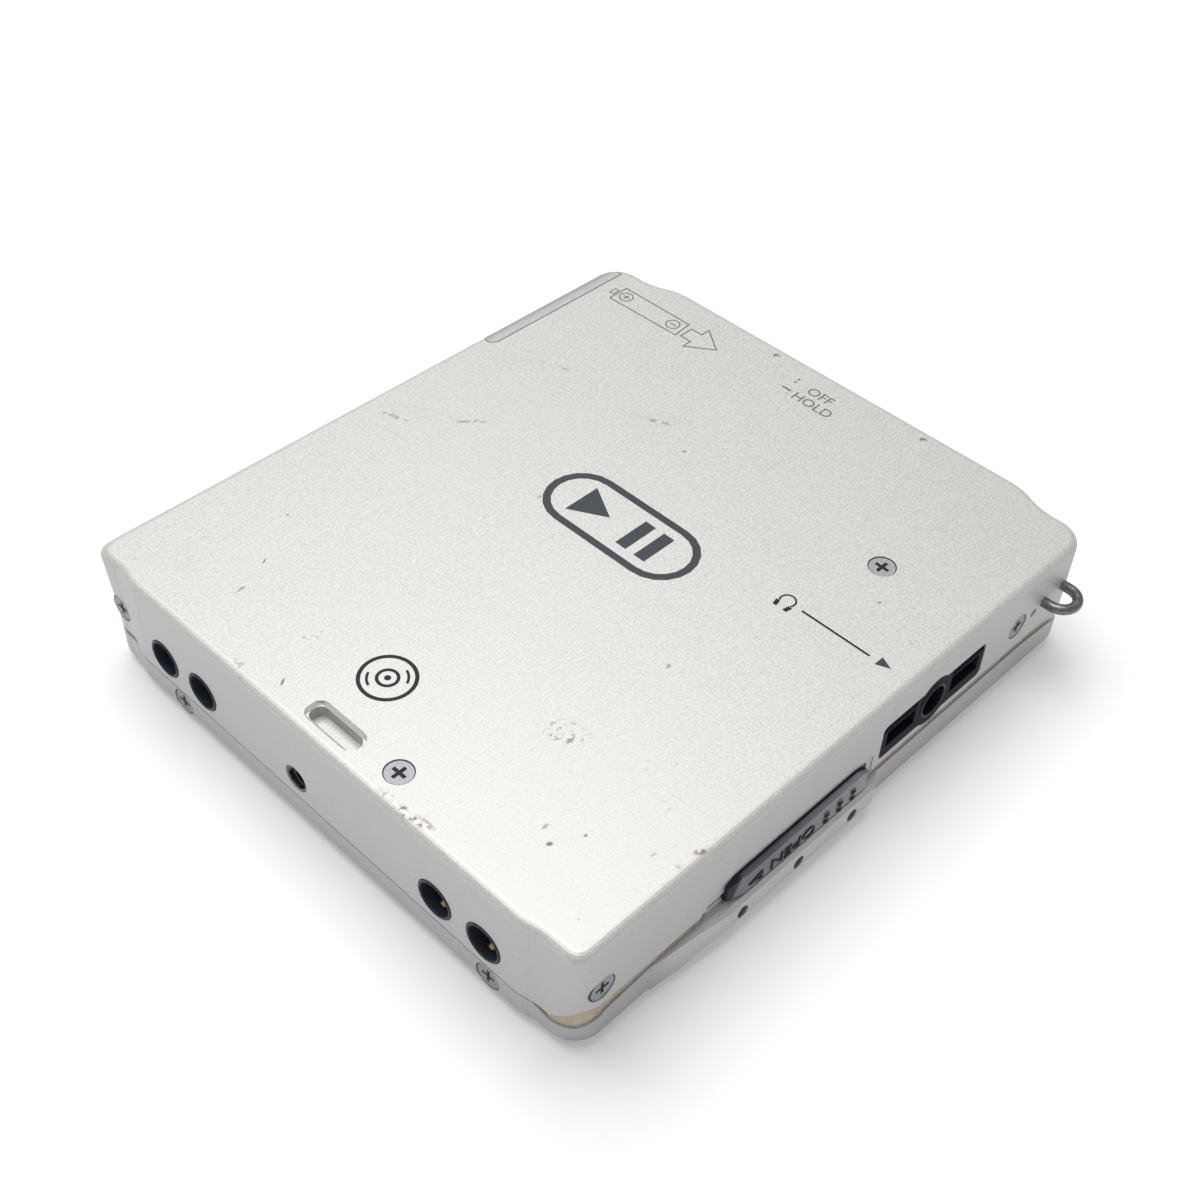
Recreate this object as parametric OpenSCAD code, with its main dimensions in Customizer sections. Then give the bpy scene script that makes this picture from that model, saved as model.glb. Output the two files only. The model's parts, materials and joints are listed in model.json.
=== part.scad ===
// Portable minidisc player, closed, lying on its lid with the underside up.
// The origin is the middle of the lid's outer face. +Z goes up through the player,
// -Y is the front with the headphone socket, +X is the swollen side with the keys.

/* [Cartridge] */
// Width of the disc cartridge, across the player
cart_w = 72; // [60:0.5:90]
// Depth of the disc cartridge, the way it slides in
cart_d = 68; // [56:0.5:86]
// Thickness of the disc cartridge
cart_t = 5; // [4.4:0.1:8]
// Play round the cartridge in its holder
cart_play = 0.15; // [0.05:0.05:0.3]

/* [Case] */
// Room from the cartridge holder to the outside of each side wall
side_room = 3.05; // [2.9:0.05:6]
// Room from the cartridge to the outside of the front wall
front_room = 1.7; // [1.6:0.05:4]
// Room from the cartridge to the outside of the back wall
back_room = 2; // [2:0.05:5]
// Radius of the upright corners
corner_r = 3.5; // [3.3:0.1:5]
// Wall of the base cover
wall = 1; // [0.8:0.05:1.1]
// Thickness of the base cover's large face
plate_t = 1.1; // [0.8:0.05:2]
// Rounding of the base cover's edge
edge_r = 1; // [0.4:0.1:1.2]
// Wall of the lid cover
lid_wall = 0.8; // [0.6:0.05:0.9]
// Thickness of the lid cover's large face
lid_t = 0.8; // [0.6:0.05:1.5]
// Rounding of the lid cover's edge
lid_edge_r = 2; // [1.4:0.1:2.2]
// How far the key side swells out
swell_right = 1.55; // [0.8:0.05:1.7]
// How far the socket side swells out
swell_left = 0.55; // [0.2:0.05:0.8]
// Radius of the two bends at each end of a swelling
bend_r = 8.5; // [5:0.5:12]
// Straight wall between a corner and the key side's swelling
lead_right = 1; // [0.2:0.1:6]
// Straight wall between a corner and the socket side's swelling
lead_left = 0.2; // [0.1:0.1:6]
// Depth of the parting line below the base cover's face, on the sides
part_side = 11.1; // [10.9:0.05:11.6]
// Depth of the parting line below the base cover's face, at the back
part_back = 10; // [9.6:0.05:10.2]
// Depth of the parting line below the base cover's face, at the front
part_front = 9.2; // [9:0.05:9.5]
// Gap along the parting line
seam = 0.15; // [0.1:0.05:0.3]
// Thickness of the wall that stands up from the lid frame
frame_wall = 0.6; // [0.4:0.05:0.65]
// Thickness of the lid frame's ledge
frame_t = 0.2; // [0.15:0.05:0.6]

/* [Stack] */
// Sheet of the cartridge holder
sheet = 0.3; // [0.2:0.05:0.4]
// Gap between the lid frame and the cartridge holder
holder_lift = 0.2; // [0.18:0.02:0.6]
// Gap between the cartridge holder and the deck
deck_gap = 0.3; // [0.2:0.05:0.8]
// Thickness of the mechanism deck
deck_t = 0.6; // [0.4:0.05:1]
// Thickness of the stick cell
cell_t = 6; // [5.9:0.05:7]
// Width of the stick cell
cell_w = 17; // [14:0.1:17.4]
// Length of the stick cell
cell_l = 67; // [50:0.5:67.2]
// Gap between the cell and the deck
cell_gap = 0.1; // [0.05:0.05:0.3]
// Gap between the cell and the base cover's large face
top_gap = 0.35; // [0.2:0.05:1]

/* [Hinges] */
// Radius of the rounded lower back edge, which turns on the hinge axis
hinge_r = 0.85; // [0.7:0.05:0.9]
// Radius of the hinge pins
hinge_pin_r = 0.45; // [0.3:0.05:0.5]
// Distance of each hinge from the middle
hinge_x = 27; // [10:0.5:30]
// Width of each hinge lug on the lid frame
lug_w = 4; // [2:0.1:6]
// Width of the knuckles beside each lug
knuckle_w = 2; // [1:0.1:4]
// Running clearance of pins, rods and shafts
run_gap = 0.05; // [0.02:0.01:0.08]
// Clearance of moving pieces beside each other
side_gap = 0.15; // [0.1:0.01:0.25]

/* [Front] */
// Middle of the headphone socket, across the front
jack_x = 12.3; // [9:0.1:13]
// Radius of the headphone socket's bore
jack_bore_r = 1.8; // [1.3:0.05:1.85]
// Depth of the headphone socket
jack_depth = 13.5; // [8:0.1:15]
// Half width of the dark panel round the socket
panel_half = 8.7; // [6:0.1:8.8]
// Height of the dark panel
panel_h = 4.6; // [4:0.1:5]
// Radius of the swelling of the panel round the socket
panel_ring_r = 3; // [2.5:0.05:3.1]
// Right end of the open slider, at rest
slider_x1 = 1.6; // [-4:0.1:1.7]
// Length of the open slider
slider_l = 21; // [12:0.5:24]
// Height of the open slider
slider_h = 3; // [2:0.1:3.4]
// How far the open slider stands out of the front
slider_proud = 0.6; // [0.2:0.05:0.8]
// Travel of the open slider
slider_travel = 2.5; // [1:0.1:3]
// Middle of the strap loop, across the front
loop_x = 34.2; // [30:0.1:34.2]
// Radius of the strap loop, at the middle of its wire
loop_r = 1.9; // [1.5:0.05:2]
// Radius of the strap loop's wire
loop_wire_r = 0.6; // [0.3:0.05:0.65]
// How far the lid's finger lip stands out
lip_out = 1; // [0.4:0.1:1.6]

/* [Left side] */
// Outer radius of the socket cups
cup_r = 2.3; // [1.6:0.05:2.4]
// Bore radius of the socket cups
cup_bore_r = 1.9; // [1.2:0.05:1.95]
// Length of the socket cups
cup_l = 3; // [2:0.1:3.05]
// Radius of the threaded insert's hole
insert_bore_r = 1.3; // [0.8:0.05:1.35]
// Outer radius of the threaded insert
insert_r = 1.6; // [1.5:0.05:1.8]

/* [Keys] */
// Width of a side key
key_w = 5; // [3:0.1:6]
// Height of a side key
key_h = 2.8; // [2:0.1:3.4]
// Travel of a side key
key_travel = 0.4; // [0.2:0.05:0.45]
// How far a side key stands out
key_proud = 0.4; // [0.2:0.05:1]
// Distance between neighbouring side keys
key_pitch = 7; // [6.6:0.1:7.4]
// Travel of the hold knob
hold_travel = 2.4; // [1:0.1:2.6]

/* [Screws] */
// Radius of the screw heads
head_r = 1.45; // [0.9:0.05:1.5]
// Height of the screw heads
head_h = 0.4; // [0.25:0.05:0.6]
// Depth of the seats that the heads sit in
head_seat = 0.5; // [0.1:0.05:0.55]
// Radius of the screw shanks
shank_r = 0.7; // [0.4:0.05:0.75]

/* [Drive] */
// Radius of the spindle motor
motor_r = 8.5; // [6:0.1:8.8]
// Radius of the spindle shaft
spindle_r = 0.75; // [0.5:0.05:1]
// Radius of the turntable
turntable_r = 5.2; // [3:0.1:7]
// Radius of the pickup's guide rods
rod_r = 0.8; // [0.5:0.05:0.9]
// Distance of each guide rod from the spindle's line
rod_y = 9.6; // [9.5:0.1:10]
// Travel of the pickup
pickup_travel = 12.5; // [6:0.5:12.7]
// Radius of the lead screw
lead_r = 1; // [0.6:0.05:1.1]
// Module of the two sled gears
gear_m = 0.25; // [0.2:0.01:0.26]
// Teeth on the lead screw's gear
gear_teeth = 14; // [12:1:14]
// Teeth on the motor's pinion
pinion_teeth = 8; // [8:1:10]

/* [Hidden] */
$fn = 48;
eps = 0.01;

// Overall size, built up from the cartridge and the rooms round it
cavity_hw = cart_w / 2 + cart_play;
holder_hw = cavity_hw + sheet;
hw = holder_hw + side_room;
body_d = cart_d + 2 * cart_play + front_room + back_room;
hd = body_d / 2;
cavity_y0 = front_room - hd;
cavity_y1 = hd - back_room;

// Heights, built up from the lid's outer face
frame_z = lid_t + frame_t;
holder_z = frame_z + holder_lift;
cavity_z = holder_z + sheet;
rail_z = cavity_z + cart_t + cart_play;
deck_z = rail_z + sheet + deck_gap;
deck_top = deck_z + deck_t;
cell_z = deck_top + cell_gap;
plate_z = cell_z + cell_t + top_gap;
body_h = plate_z + plate_t;
side_z = body_h - part_side;
back_z = body_h - part_back;
front_z = body_h - part_front;

// Outline of the case. Each swollen side runs from a corner through a lead, a hollow bend and
// a full bend to its long straight part.
function snap(v) = round(v * 1000) / 1000;
function bend_reach(swell) = bend_r * sin(acos(1 - swell / (2 * bend_r)));
face_right = hw + swell_right;
face_left = hw + swell_left;
corner_y = hd - corner_r;
inset_right = snap(corner_r + lead_right + 2 * bend_reach(swell_right));
inset_left = snap(corner_r + lead_left + 2 * bend_reach(swell_left));
rim_w = corner_r - 0.1;

function polar(r, a) = [r * cos(a), r * sin(a)];
// Points on a rounded edge
function bend(c, r, a0, a1) = [for (i = [0 : 6]) c + polar(r, a0 + (a1 - a0) * i / 6)];

// Carry a wall section round the case. Its x is the depth in from the outside, its y is height.
// Neighbouring pieces meet face to face, each a hair deeper than the next, so none of them merge badly.
hair = 0.01;
module quarter_turn(r) {
    rotate_extrude(angle = 90, $fn = 96) translate([r, 0]) children();
}
module swollen_side(swell, lead) {
    lead_y = corner_y - lead;
    full_y = snap(lead_y - 2 * bend_reach(swell));
    mid_y = snap(lead_y - bend_reach(swell));
    face = hw + swell;
    translate([face - hair, -full_y, 0]) rotate([90, 0, 180]) linear_extrude(height = 2 * full_y) children();
    for (k = [0, 1])
        mirror([0, k, 0]) {
            intersection() {
                translate([face - bend_r, full_y, 0]) quarter_turn(bend_r) mirror([1, 0]) children();
                block([face - bend_r, full_y, -1], [face + 1, mid_y, body_h + 1]);
            }
            intersection() {
                translate([hw + bend_r - 2 * hair, lead_y, 0]) rotate([0, 0, 180])
                    quarter_turn(bend_r) children();
                block([hw - 2 * rim_w, mid_y, -1], [hw + bend_r, lead_y, body_h + 1]);
            }
            translate([hw - hair, lead_y, 0]) rotate([90, 0, 180]) linear_extrude(height = lead) children();
        }
}
module round_the_case() {
    for (k = [0, 1])
        mirror([0, k, 0])
            translate([corner_r - hw, hair - hd, 0]) rotate([90, 0, 90])
                linear_extrude(height = 2 * (hw - corner_r)) children();
    for (kx = [0, 1], ky = [0, 1])
        mirror([kx, 0, 0]) mirror([0, ky, 0])
            translate([hw - corner_r, corner_y, 0]) quarter_turn(corner_r) mirror([1, 0]) children();
    swollen_side(swell_right, lead_right) children();
    mirror([1, 0, 0]) swollen_side(swell_left, lead_left) children();
}

// The large face inside the rim, kept clear of the rounded edge
module large_face(z, t, edge) {
    keep = edge + 0.1;
    reach = face_right - keep - 0.5;
    block([corner_r - hw, keep - hd, z], [hw - corner_r, hd - keep, z + t]);
    block([keep - hw, corner_r - hd, z], [hw - keep, hd - corner_r, z + t]);
    if (rim_w < swell_right + keep)
        block([0, inset_right - hd - 3, z], [reach, hd - inset_right + 3, z + t]);
}

module block(low, high) {
    translate(low) cube(high - low);
}

// A rod along X or along Y, from one end to the other
module rod_x(x0, x1, y, z, r) {
    translate([x0, y, z]) rotate([0, 90, 0]) cylinder(r = r, h = x1 - x0);
}
module rod_y(y0, y1, x, z, r) {
    translate([x, y1, z]) rotate([90, 0, 0]) cylinder(r = r, h = y1 - y0);
}

// A flat shape drawn in Y and Z, drawn out along X over a span
module along_x(x0, x1) {
    translate([x0, 0, 0]) rotate([90, 0, 90]) linear_extrude(height = x1 - x0) children();
}
// A flat shape drawn in X and Z, drawn out along Y over a span
module along_y(y0, y1) {
    translate([0, y1, 0]) rotate([90, 0, 0]) linear_extrude(height = y1 - y0) children();
}

module rounded(w, h, r) {
    translate([-w / 2, r - h / 2]) square([w, h - 2 * r]);
    translate([r - w / 2, -h / 2]) square([w - 2 * r, h]);
    for (sx = [-1, 1], sy = [-1, 1])
        translate([sx * (w / 2 - r), sy * (h / 2 - r)]) circle(r);
}

// Everything below the base cover's lower edge, lowered by a drop
rise_y = corner_r - hd;
back_step_y = hd - corner_r - 1.8;
reach_out = 6;
module below_base_edge(drop) {
    along_x(-hw - reach_out, hw + reach_out)
        polygon([
            [-hd - reach_out, -1],
            [-hd - reach_out, front_z - drop],
            [wall * 0.6 - hd, front_z - drop],
            [rise_y, side_z - drop],
            [back_step_y - 1, side_z - drop],
            [back_step_y, back_z - drop],
            [hd + reach_out, back_z - drop],
            [hd + reach_out, -1],
        ]);
}

// Everything below the lid cover's upper edge, which dips at the front corners
cover_side_z = side_z - seam;
cover_dip_z = side_z - 0.9;
cover_back_z = back_z - 0.8;
cover_front_z = front_z - 1.1;
module below_cover_edge() {
    along_x(-hw - reach_out, hw + reach_out)
        polygon([
            [-hd - reach_out, -1],
            [-hd - reach_out, cover_dip_z],
            [rise_y + 0.3, cover_dip_z],
            [rise_y + 2, cover_side_z],
            [back_step_y - 1, cover_side_z],
            [back_step_y, cover_back_z],
            [hd + reach_out, cover_back_z],
            [hd + reach_out, -1],
        ]);
    along_y(-hd - reach_out, 1.2 - hd)
        polygon([
            [1.2 - hw, -1],
            [1.2 - hw, cover_dip_z],
            [corner_r + 0.4 - hw, cover_front_z - 0.5],
            [corner_r + 6 - hw, cover_front_z],
            [hw - corner_r - 6, cover_front_z],
            [hw - corner_r - 0.4, cover_front_z - 0.5],
            [hw - 1.2, cover_dip_z],
            [hw - 1.2, -1],
        ]);
}

// Screws stand on +Z, with the outer surface at z = 0
head_gap = 0.12;
cross_w = 0.42;
cross_l = 1.7;
cross_depth = 0.28;
module screw(shank_l) {
    difference() {
        union() {
            translate([0, 0, -head_seat]) cylinder(r = head_r, h = head_h);
            translate([0, 0, -head_seat - shank_l]) cylinder(r = shank_r, h = shank_l + eps);
        }
        translate([0, 0, head_h - head_seat]) {
            cube([cross_l, cross_w, 2 * cross_depth], center = true);
            cube([cross_w, cross_l, 2 * cross_depth], center = true);
        }
    }
}
module screw_seat(shank_l) {
    translate([0, 0, -head_seat]) cylinder(r = head_r + head_gap, h = head_seat + 2);
    translate([0, 0, -head_seat - shank_l - 0.4]) cylinder(r = shank_r + run_gap, h = shank_l + 1);
}

// Cell, at the key side of the deck, and the leaf that presses on its inner end
cell_x1 = hw - wall - 1.1;
cell_x0 = cell_x1 - cell_w;
cell_y1 = hd - 1.7;
cell_y0 = cell_y1 - cell_l;
panel_x1 = jack_x + 0.1 + panel_half;
leaf_x0 = panel_x1 + 0.9;
leaf_x1 = leaf_x0 + 3.6;

// Places of the screws: top face, base walls and lid walls
top_screw_l = 5;
side_screw_l = 1.9;
lid_screw_l = 1.5;
back_screw_z = body_h - 6.9;
front_screw_z = [body_h - 6.7, body_h - 5.9];
post_left = [3.05 - hw, -9.4];
post_right = [cell_x0 - 1.7, 12.7 - hd];
front_screw_x = [corner_r - 0.2 - hw, leaf_x1 + 1.9];
back_screw_y = hd - corner_r + 0.2;
lid_screw_z = cover_side_z - head_r - 0.1;
lid_screw_y = [22.1, -25.1];
module top_screw_places() {
    for (p = [post_left, post_right])
        translate([p[0], p[1], body_h]) children();
}
module side_screw_places() {
    for (i = [0, 1])
        translate([front_screw_x[i], -hd, front_screw_z[i]]) rotate([90, 0, 0]) children();
    translate([-hw, back_screw_y, back_screw_z]) rotate([0, -90, 0]) children();
}
module lid_screw_places() {
    for (y = lid_screw_y) {
        translate([-face_left, y, lid_screw_z]) rotate([0, -90, 0]) children();
        translate([face_right, y, lid_screw_z]) rotate([0, 90, 0]) children();
    }
}

// Hinge between the lid frame and the base cover
hinge_y = hd - hinge_r;
hinge_z = back_z + hinge_r;
lug_r = hinge_r - run_gap;

// Headphone socket and its dark panel
jack_body_r = 2.2;
jack_z = deck_z + jack_body_r - 0.15;
panel_gap = 0.1;
panel_z = jack_z - 0.05;
module panel_outline(grow) {
    translate([jack_x + 0.1, panel_z]) rounded(2 * panel_half + 2 * grow, panel_h + 2 * grow, 0.7);
    translate([jack_x, jack_z]) circle(panel_ring_r + grow);
}

// Open slider and its recess in the front wall
slider_x0 = slider_x1 - slider_l;
slider_z = cover_front_z + 0.15 + slider_h / 2;
slider_recess = 0.4;
slider_bevel = 0.3;
hollow_w = 1;
hollow_depth = 0.15;
stem_w = 10;
stem_h = 1;
stem_z = slider_z + slider_h / 2 - stem_h / 2 - 0.1;
stem_x = (slider_x0 + slider_x1) / 2;

// Battery door at the right end of the back wall
door_x0 = cell_x0 - 4.9;
door_wall = wall + 0.1;
door_r = wall + 0.1;
door_pin_r = 0.4;
door_axis_x = door_x0 + door_r;
door_axis_y = hd - door_r;
door_x1 = hw - 1.6;
door_z = deck_top + 0.2;
door_strip = 2 * door_r;

// Board that the side keys press on
key_board_x0 = cell_x1 + 0.4;
key_board_t = 0.6;
key_board_x1 = key_board_x0 + key_board_t;
dome_h = 0.35;
key_z = deck_top + 2.3;
key_inner = face_right - wall - 0.3;
key_flange = 0.55;
hold_y = 1.2;
hold_w = 4.2;
hold_h = 2.2;
function key_y(i) = (i < 2 ? -1 : 1) * (9.5 + (i == 0 || i == 3 ? key_pitch : 0));

// Sockets on the left side
cup_y = [24.3, 17.8, -18, -24.6];
cup_z = side_z + cup_r + 0.9;
insert_y = 2.5;
insert_z = side_z + insert_r + 1.1;

// Slot pocket in the large face
pocket_w = 2;
pocket_l = 6.7;
pocket_depth = 1.7;
pocket_bevel = 0.4;
pocket_x = 2.45 - hw;
pocket_y = -0.9;

// Sled drive
sled_z = deck_top + 2.2;
lead_y = -15;
gear_gap = 0.06;
gear_r = gear_m * gear_teeth / 2;
pinion_r = gear_m * pinion_teeth / 2;
pinion_y = lead_y - gear_r - pinion_r - gear_gap;
gear_x0 = -3.8;
gear_w = 1;
pickup_x1 = -motor_r - 0.9;
pickup_l = 11.5;
pickup_side = 2.2;
pickup_x0 = pickup_x1 - pickup_l;
lens_x = pickup_x1 - pickup_l / 2;
rod_end_x = pickup_x0 - pickup_travel - 0.2;
rod_block = 0.8;
pickup_z0 = deck_top + 0.3;
pickup_z1 = pickup_z0 + 3.6;
lens_r = 1.7;

// Main board
board_z = deck_top + 4.8;
board_t = 0.6;
board_room = 2.6;
board_hd = hd - board_room;
board_x0 = 2.3 - hw;
board_gap = 3.1;
board_x1 = cell_x0 - board_gap;
board_w = board_x1 - board_x0;

// Lid

module lid_section() {
    r = lid_edge_r;
    polygon(concat(
        [[lid_wall, front_z], [0, front_z]],
        bend([r, r], r, 180, 270),
        [[rim_w, 0], [rim_w, lid_t]],
        bend([r, r], r - lid_wall, 270, 180)
    ));
}

// Finger lip under the slider, blended into the front by two bends
lip_x0 = slider_x0 - 3;
lip_x1 = slider_x1 + 2.2;
lip_z0 = lid_edge_r * 0.6;
lip_dot_r = 0.5;
module finger_lip() {
    lip_z1 = cover_front_z - 0.2;
    intersection() {
        translate([0, 0, lip_z0]) linear_extrude(height = lip_z1 - lip_z0)
            polygon([
                [lip_x0, -hd], [lip_x0 + 4, -hd - lip_out],
                [lip_x1 - 1.4, -hd - lip_out], [lip_x1, -hd],
                [lip_x1, lid_wall - hd], [lip_x0, lid_wall - hd],
            ]);
        along_x(lip_x0, lip_x1)
            polygon([
                [lid_wall - hd, lip_z0], [-hd - lip_out * 0.4, lip_z0],
                [-hd - lip_out, lip_z0 + lip_out * 1.1], [-hd - lip_out, lip_z1 - 0.4],
                [0.4 - hd - lip_out, lip_z1], [lid_wall - hd, lip_z1],
            ]);
    }
}

module lid_cover() {
    color("silver")
        difference() {
            union() {
                intersection() {
                    round_the_case() lid_section();
                    below_cover_edge();
                }
                large_face(0, lid_t, lid_edge_r);
                finger_lip();
            }
            lid_screw_places() screw_seat(lid_screw_l);
            for (i = [0 : 2])
                rod_y(-hd - lip_out - 1, 0.5 - hd - lip_out,
                    slider_x0 + 1.6 + 8.4 * i, lip_z0 + 1.8, lip_dot_r);
        }
}

// Wall and ledge of the lid frame, leaning in to clear the lid cover's rounded edge
module frame_section() {
    a = lid_wall;
    b = lid_wall + frame_wall;
    r = lid_edge_r;
    polygon([
        [a, r], [a, front_z], [b, front_z], [b, r + 0.2],
        [r + 0.2, frame_z], [rim_w - 0.1, frame_z], [rim_w - 0.1, lid_t], [r, lid_t],
    ]);
}
lip_depth = 0.2;
holder_axis_y = cavity_y1 - 1;
holder_axis_z = rail_z - 0.55;
holder_pin_r = 0.5;
ear_x0 = holder_hw + 0.3;
ear_t = 0.6;
ear_r = 0.85;
module lid_frame() {
    color("tan")
        difference() {
            union() {
                difference() {
                    union() {
                        round_the_case() frame_section();
                        difference() {
                            round_the_case() translate([lip_depth, lid_edge_r])
                                square([lid_wall - lip_depth + eps, front_z - lid_edge_r]);
                            below_cover_edge();
                        }
                    }
                    above_frame_edge();
                    block([slider_x0 - slider_travel - 1, -hd - 1, cover_front_z],
                        [slider_x1 + 1, 3 - hd, body_h]);
                }
                for (s = [-1, 1]) {
                    lug_x0 = s * hinge_x - lug_w / 2;
                    rod_x(lug_x0, lug_x0 + lug_w, hinge_y, hinge_z, lug_r);
                    block([lug_x0, hd - lid_wall - frame_wall, cover_back_z + 0.1],
                        [lug_x0 + lug_w, hd - lip_depth - 0.1, hinge_z]);
                }
                for (s = [-1, 1]) {
                    x0 = s > 0 ? ear_x0 : -ear_x0 - ear_t;
                    rod_x(x0, x0 + ear_t, holder_axis_y, holder_axis_z, ear_r);
                    block([x0, holder_axis_y - ear_r, lid_t],
                        [x0 + ear_t, holder_axis_y + ear_r, holder_axis_z]);
                }
            }
            for (s = [-1, 1])
                rod_x(s * hinge_x - lug_w, s * hinge_x + lug_w, hinge_y, hinge_z, hinge_pin_r + run_gap);
            rod_x(-hw, hw, holder_axis_y, holder_axis_z, holder_pin_r + run_gap);
            lid_screw_places() screw_seat(lid_screw_l);
        }
}
// Everything above the lid frame's upper edge
module above_frame_edge() {
    difference() {
        block([-hw - reach_out + 1, -hd - reach_out + 1, lid_edge_r],
            [hw + reach_out - 1, hd + reach_out - 1, body_h]);
        below_base_edge(seam);
    }
}

// Hook on the lid frame that the latch plate would hold, and the strip that shows beside the slider
catch_x0 = slider_x1 - 0.1;
catch_w = 1.2;
catch_t = 0.25;
catch_y = lid_wall + frame_wall + hair - hd;
catch_top = front_z + 1.8;
module lid_catch() {
    color("lightsteelblue") {
        block([catch_x0, catch_y, lid_edge_r + 0.3], [catch_x0 + catch_w, catch_y + catch_t, catch_top]);
        block([catch_x0 - 0.3, catch_y - 0.3, catch_top - 0.6],
            [catch_x0 + catch_w, catch_y + catch_t, catch_top]);
        block([slider_x0 - slider_travel, slider_recess + 0.05 - hd, cover_front_z],
            [slider_x0 - 0.2, wall * 0.6 + 0.15 - hd, cover_front_z + 0.5]);
    }
}

module lid_screws() {
    color("gainsboro") lid_screw_places() screw(lid_screw_l);
}

// Cartridge holder

rail_w = 5;
window_w = cart_w * 0.28;
window_l = cart_d * 0.59;
// The sheet stops short of the frame's leaning wall at both ends
holder_end = 0.7;
stop_z = cavity_z + 0.9;
module cartridge_holder() {
    color("lightgrey")
        union() {
            difference() {
                block([-holder_hw, cavity_y0 + holder_end, holder_z],
                    [holder_hw, cavity_y1 - holder_end, cavity_z]);
                for (s = [-1, 1])
                    translate([s * window_w, 0, holder_z - 1])
                        linear_extrude(height = sheet + 2) rounded(window_w, window_l, window_w / 5);
            }
            for (s = [-1, 1]) {
                x0 = s > 0 ? cavity_hw : -holder_hw;
                block([x0, cavity_y0 + 2, holder_z], [x0 + sheet, cavity_y1 - holder_end, rail_z + sheet]);
                block([x0, cavity_y1 - 1.9, stop_z], [x0 + sheet, cavity_y1, rail_z + sheet]);
                r0 = s > 0 ? cavity_hw - rail_w : -holder_hw;
                block([r0, cavity_y0 + 2, rail_z], [r0 + rail_w + sheet, cavity_y1 - 0.3, rail_z + sheet]);
                p0 = s > 0 ? holder_hw - eps : -ear_x0 - ear_t;
                rod_x(p0, p0 + ear_x0 + ear_t - holder_hw + eps, holder_axis_y, holder_axis_z, holder_pin_r);
            }
            block([-holder_hw, cavity_y1 - eps, stop_z],
                [holder_hw, cavity_y1 + sheet, cavity_z + cart_t * 0.6]);
        }
}

spring_t = 0.2;
spring_l = 15;
module holder_springs() {
    color("goldenrod")
        for (s = [-1, 1])
            along_x(s * (cavity_hw - rail_w / 2) - 1, s * (cavity_hw - rail_w / 2) + 1)
                polygon([
                    [-spring_l, rail_z], [-4, rail_z - spring_t], [4, rail_z - spring_t], [spring_l, rail_z],
                    [spring_l, rail_z - spring_t], [4, rail_z - 2 * spring_t],
                    [-4, rail_z - 2 * spring_t], [-spring_l, rail_z - spring_t],
                ]);
}

// Base

module base_section() {
    polygon(concat(
        [[wall, side_z - 0.5], [0, side_z - 0.5]],
        bend([edge_r, body_h - edge_r], edge_r, 180, 90),
        [[rim_w, body_h], [rim_w, plate_z], [wall, plate_z]]
    ));
}

module base_walls() {
    difference() {
        union() {
            round_the_case() base_section();
            large_face(plate_z - 0.02, plate_t + 0.02, edge_r);
        }
        below_base_edge(0);
        difference() {
            block([-hw - 1, hinge_y, back_z - 1], [hw + 1, hd + 1, hinge_z]);
            rod_x(-hw - 2, hw + 2, hinge_y, hinge_z, hinge_r);
        }
    }
}

// Space of the battery door, grown by a gap all round
module door_space(gap) {
    block([door_x0 - gap, hd - door_wall - gap, door_z - gap], [door_x1 + gap, hd + 1, body_h + 1]);
    block([door_axis_x, hd - door_strip - gap, plate_z - gap], [door_x1 + gap, hd + 1, body_h + 1]);
    translate([door_axis_x, door_axis_y, door_z - gap])
        cylinder(r = door_r + gap, h = body_h + 1 - door_z + gap);
}

// Sloping mouth of the slot pocket
module pocket_mouth() {
    rise = 1;
    span = pocket_bevel + rise;
    w = pocket_w / 2;
    l = pocket_l / 2;
    z0 = body_h - pocket_bevel;
    intersection() {
        translate([pocket_x, pocket_y, z0]) linear_extrude(height = span)
            rounded(2 * w + 2 * pocket_bevel, 2 * l + 2 * pocket_bevel, 0.8 + pocket_bevel);
        along_x(pocket_x - w - span, pocket_x + w + span) translate([pocket_y, z0])
            polygon([[-l, 0], [l, 0], [l + span, span], [-l - span, span]]);
        along_y(pocket_y - l - span, pocket_y + l + span) translate([pocket_x, z0])
            polygon([[-w, 0], [w, 0], [w + span, span], [-w - span, span]]);
    }
}

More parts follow.
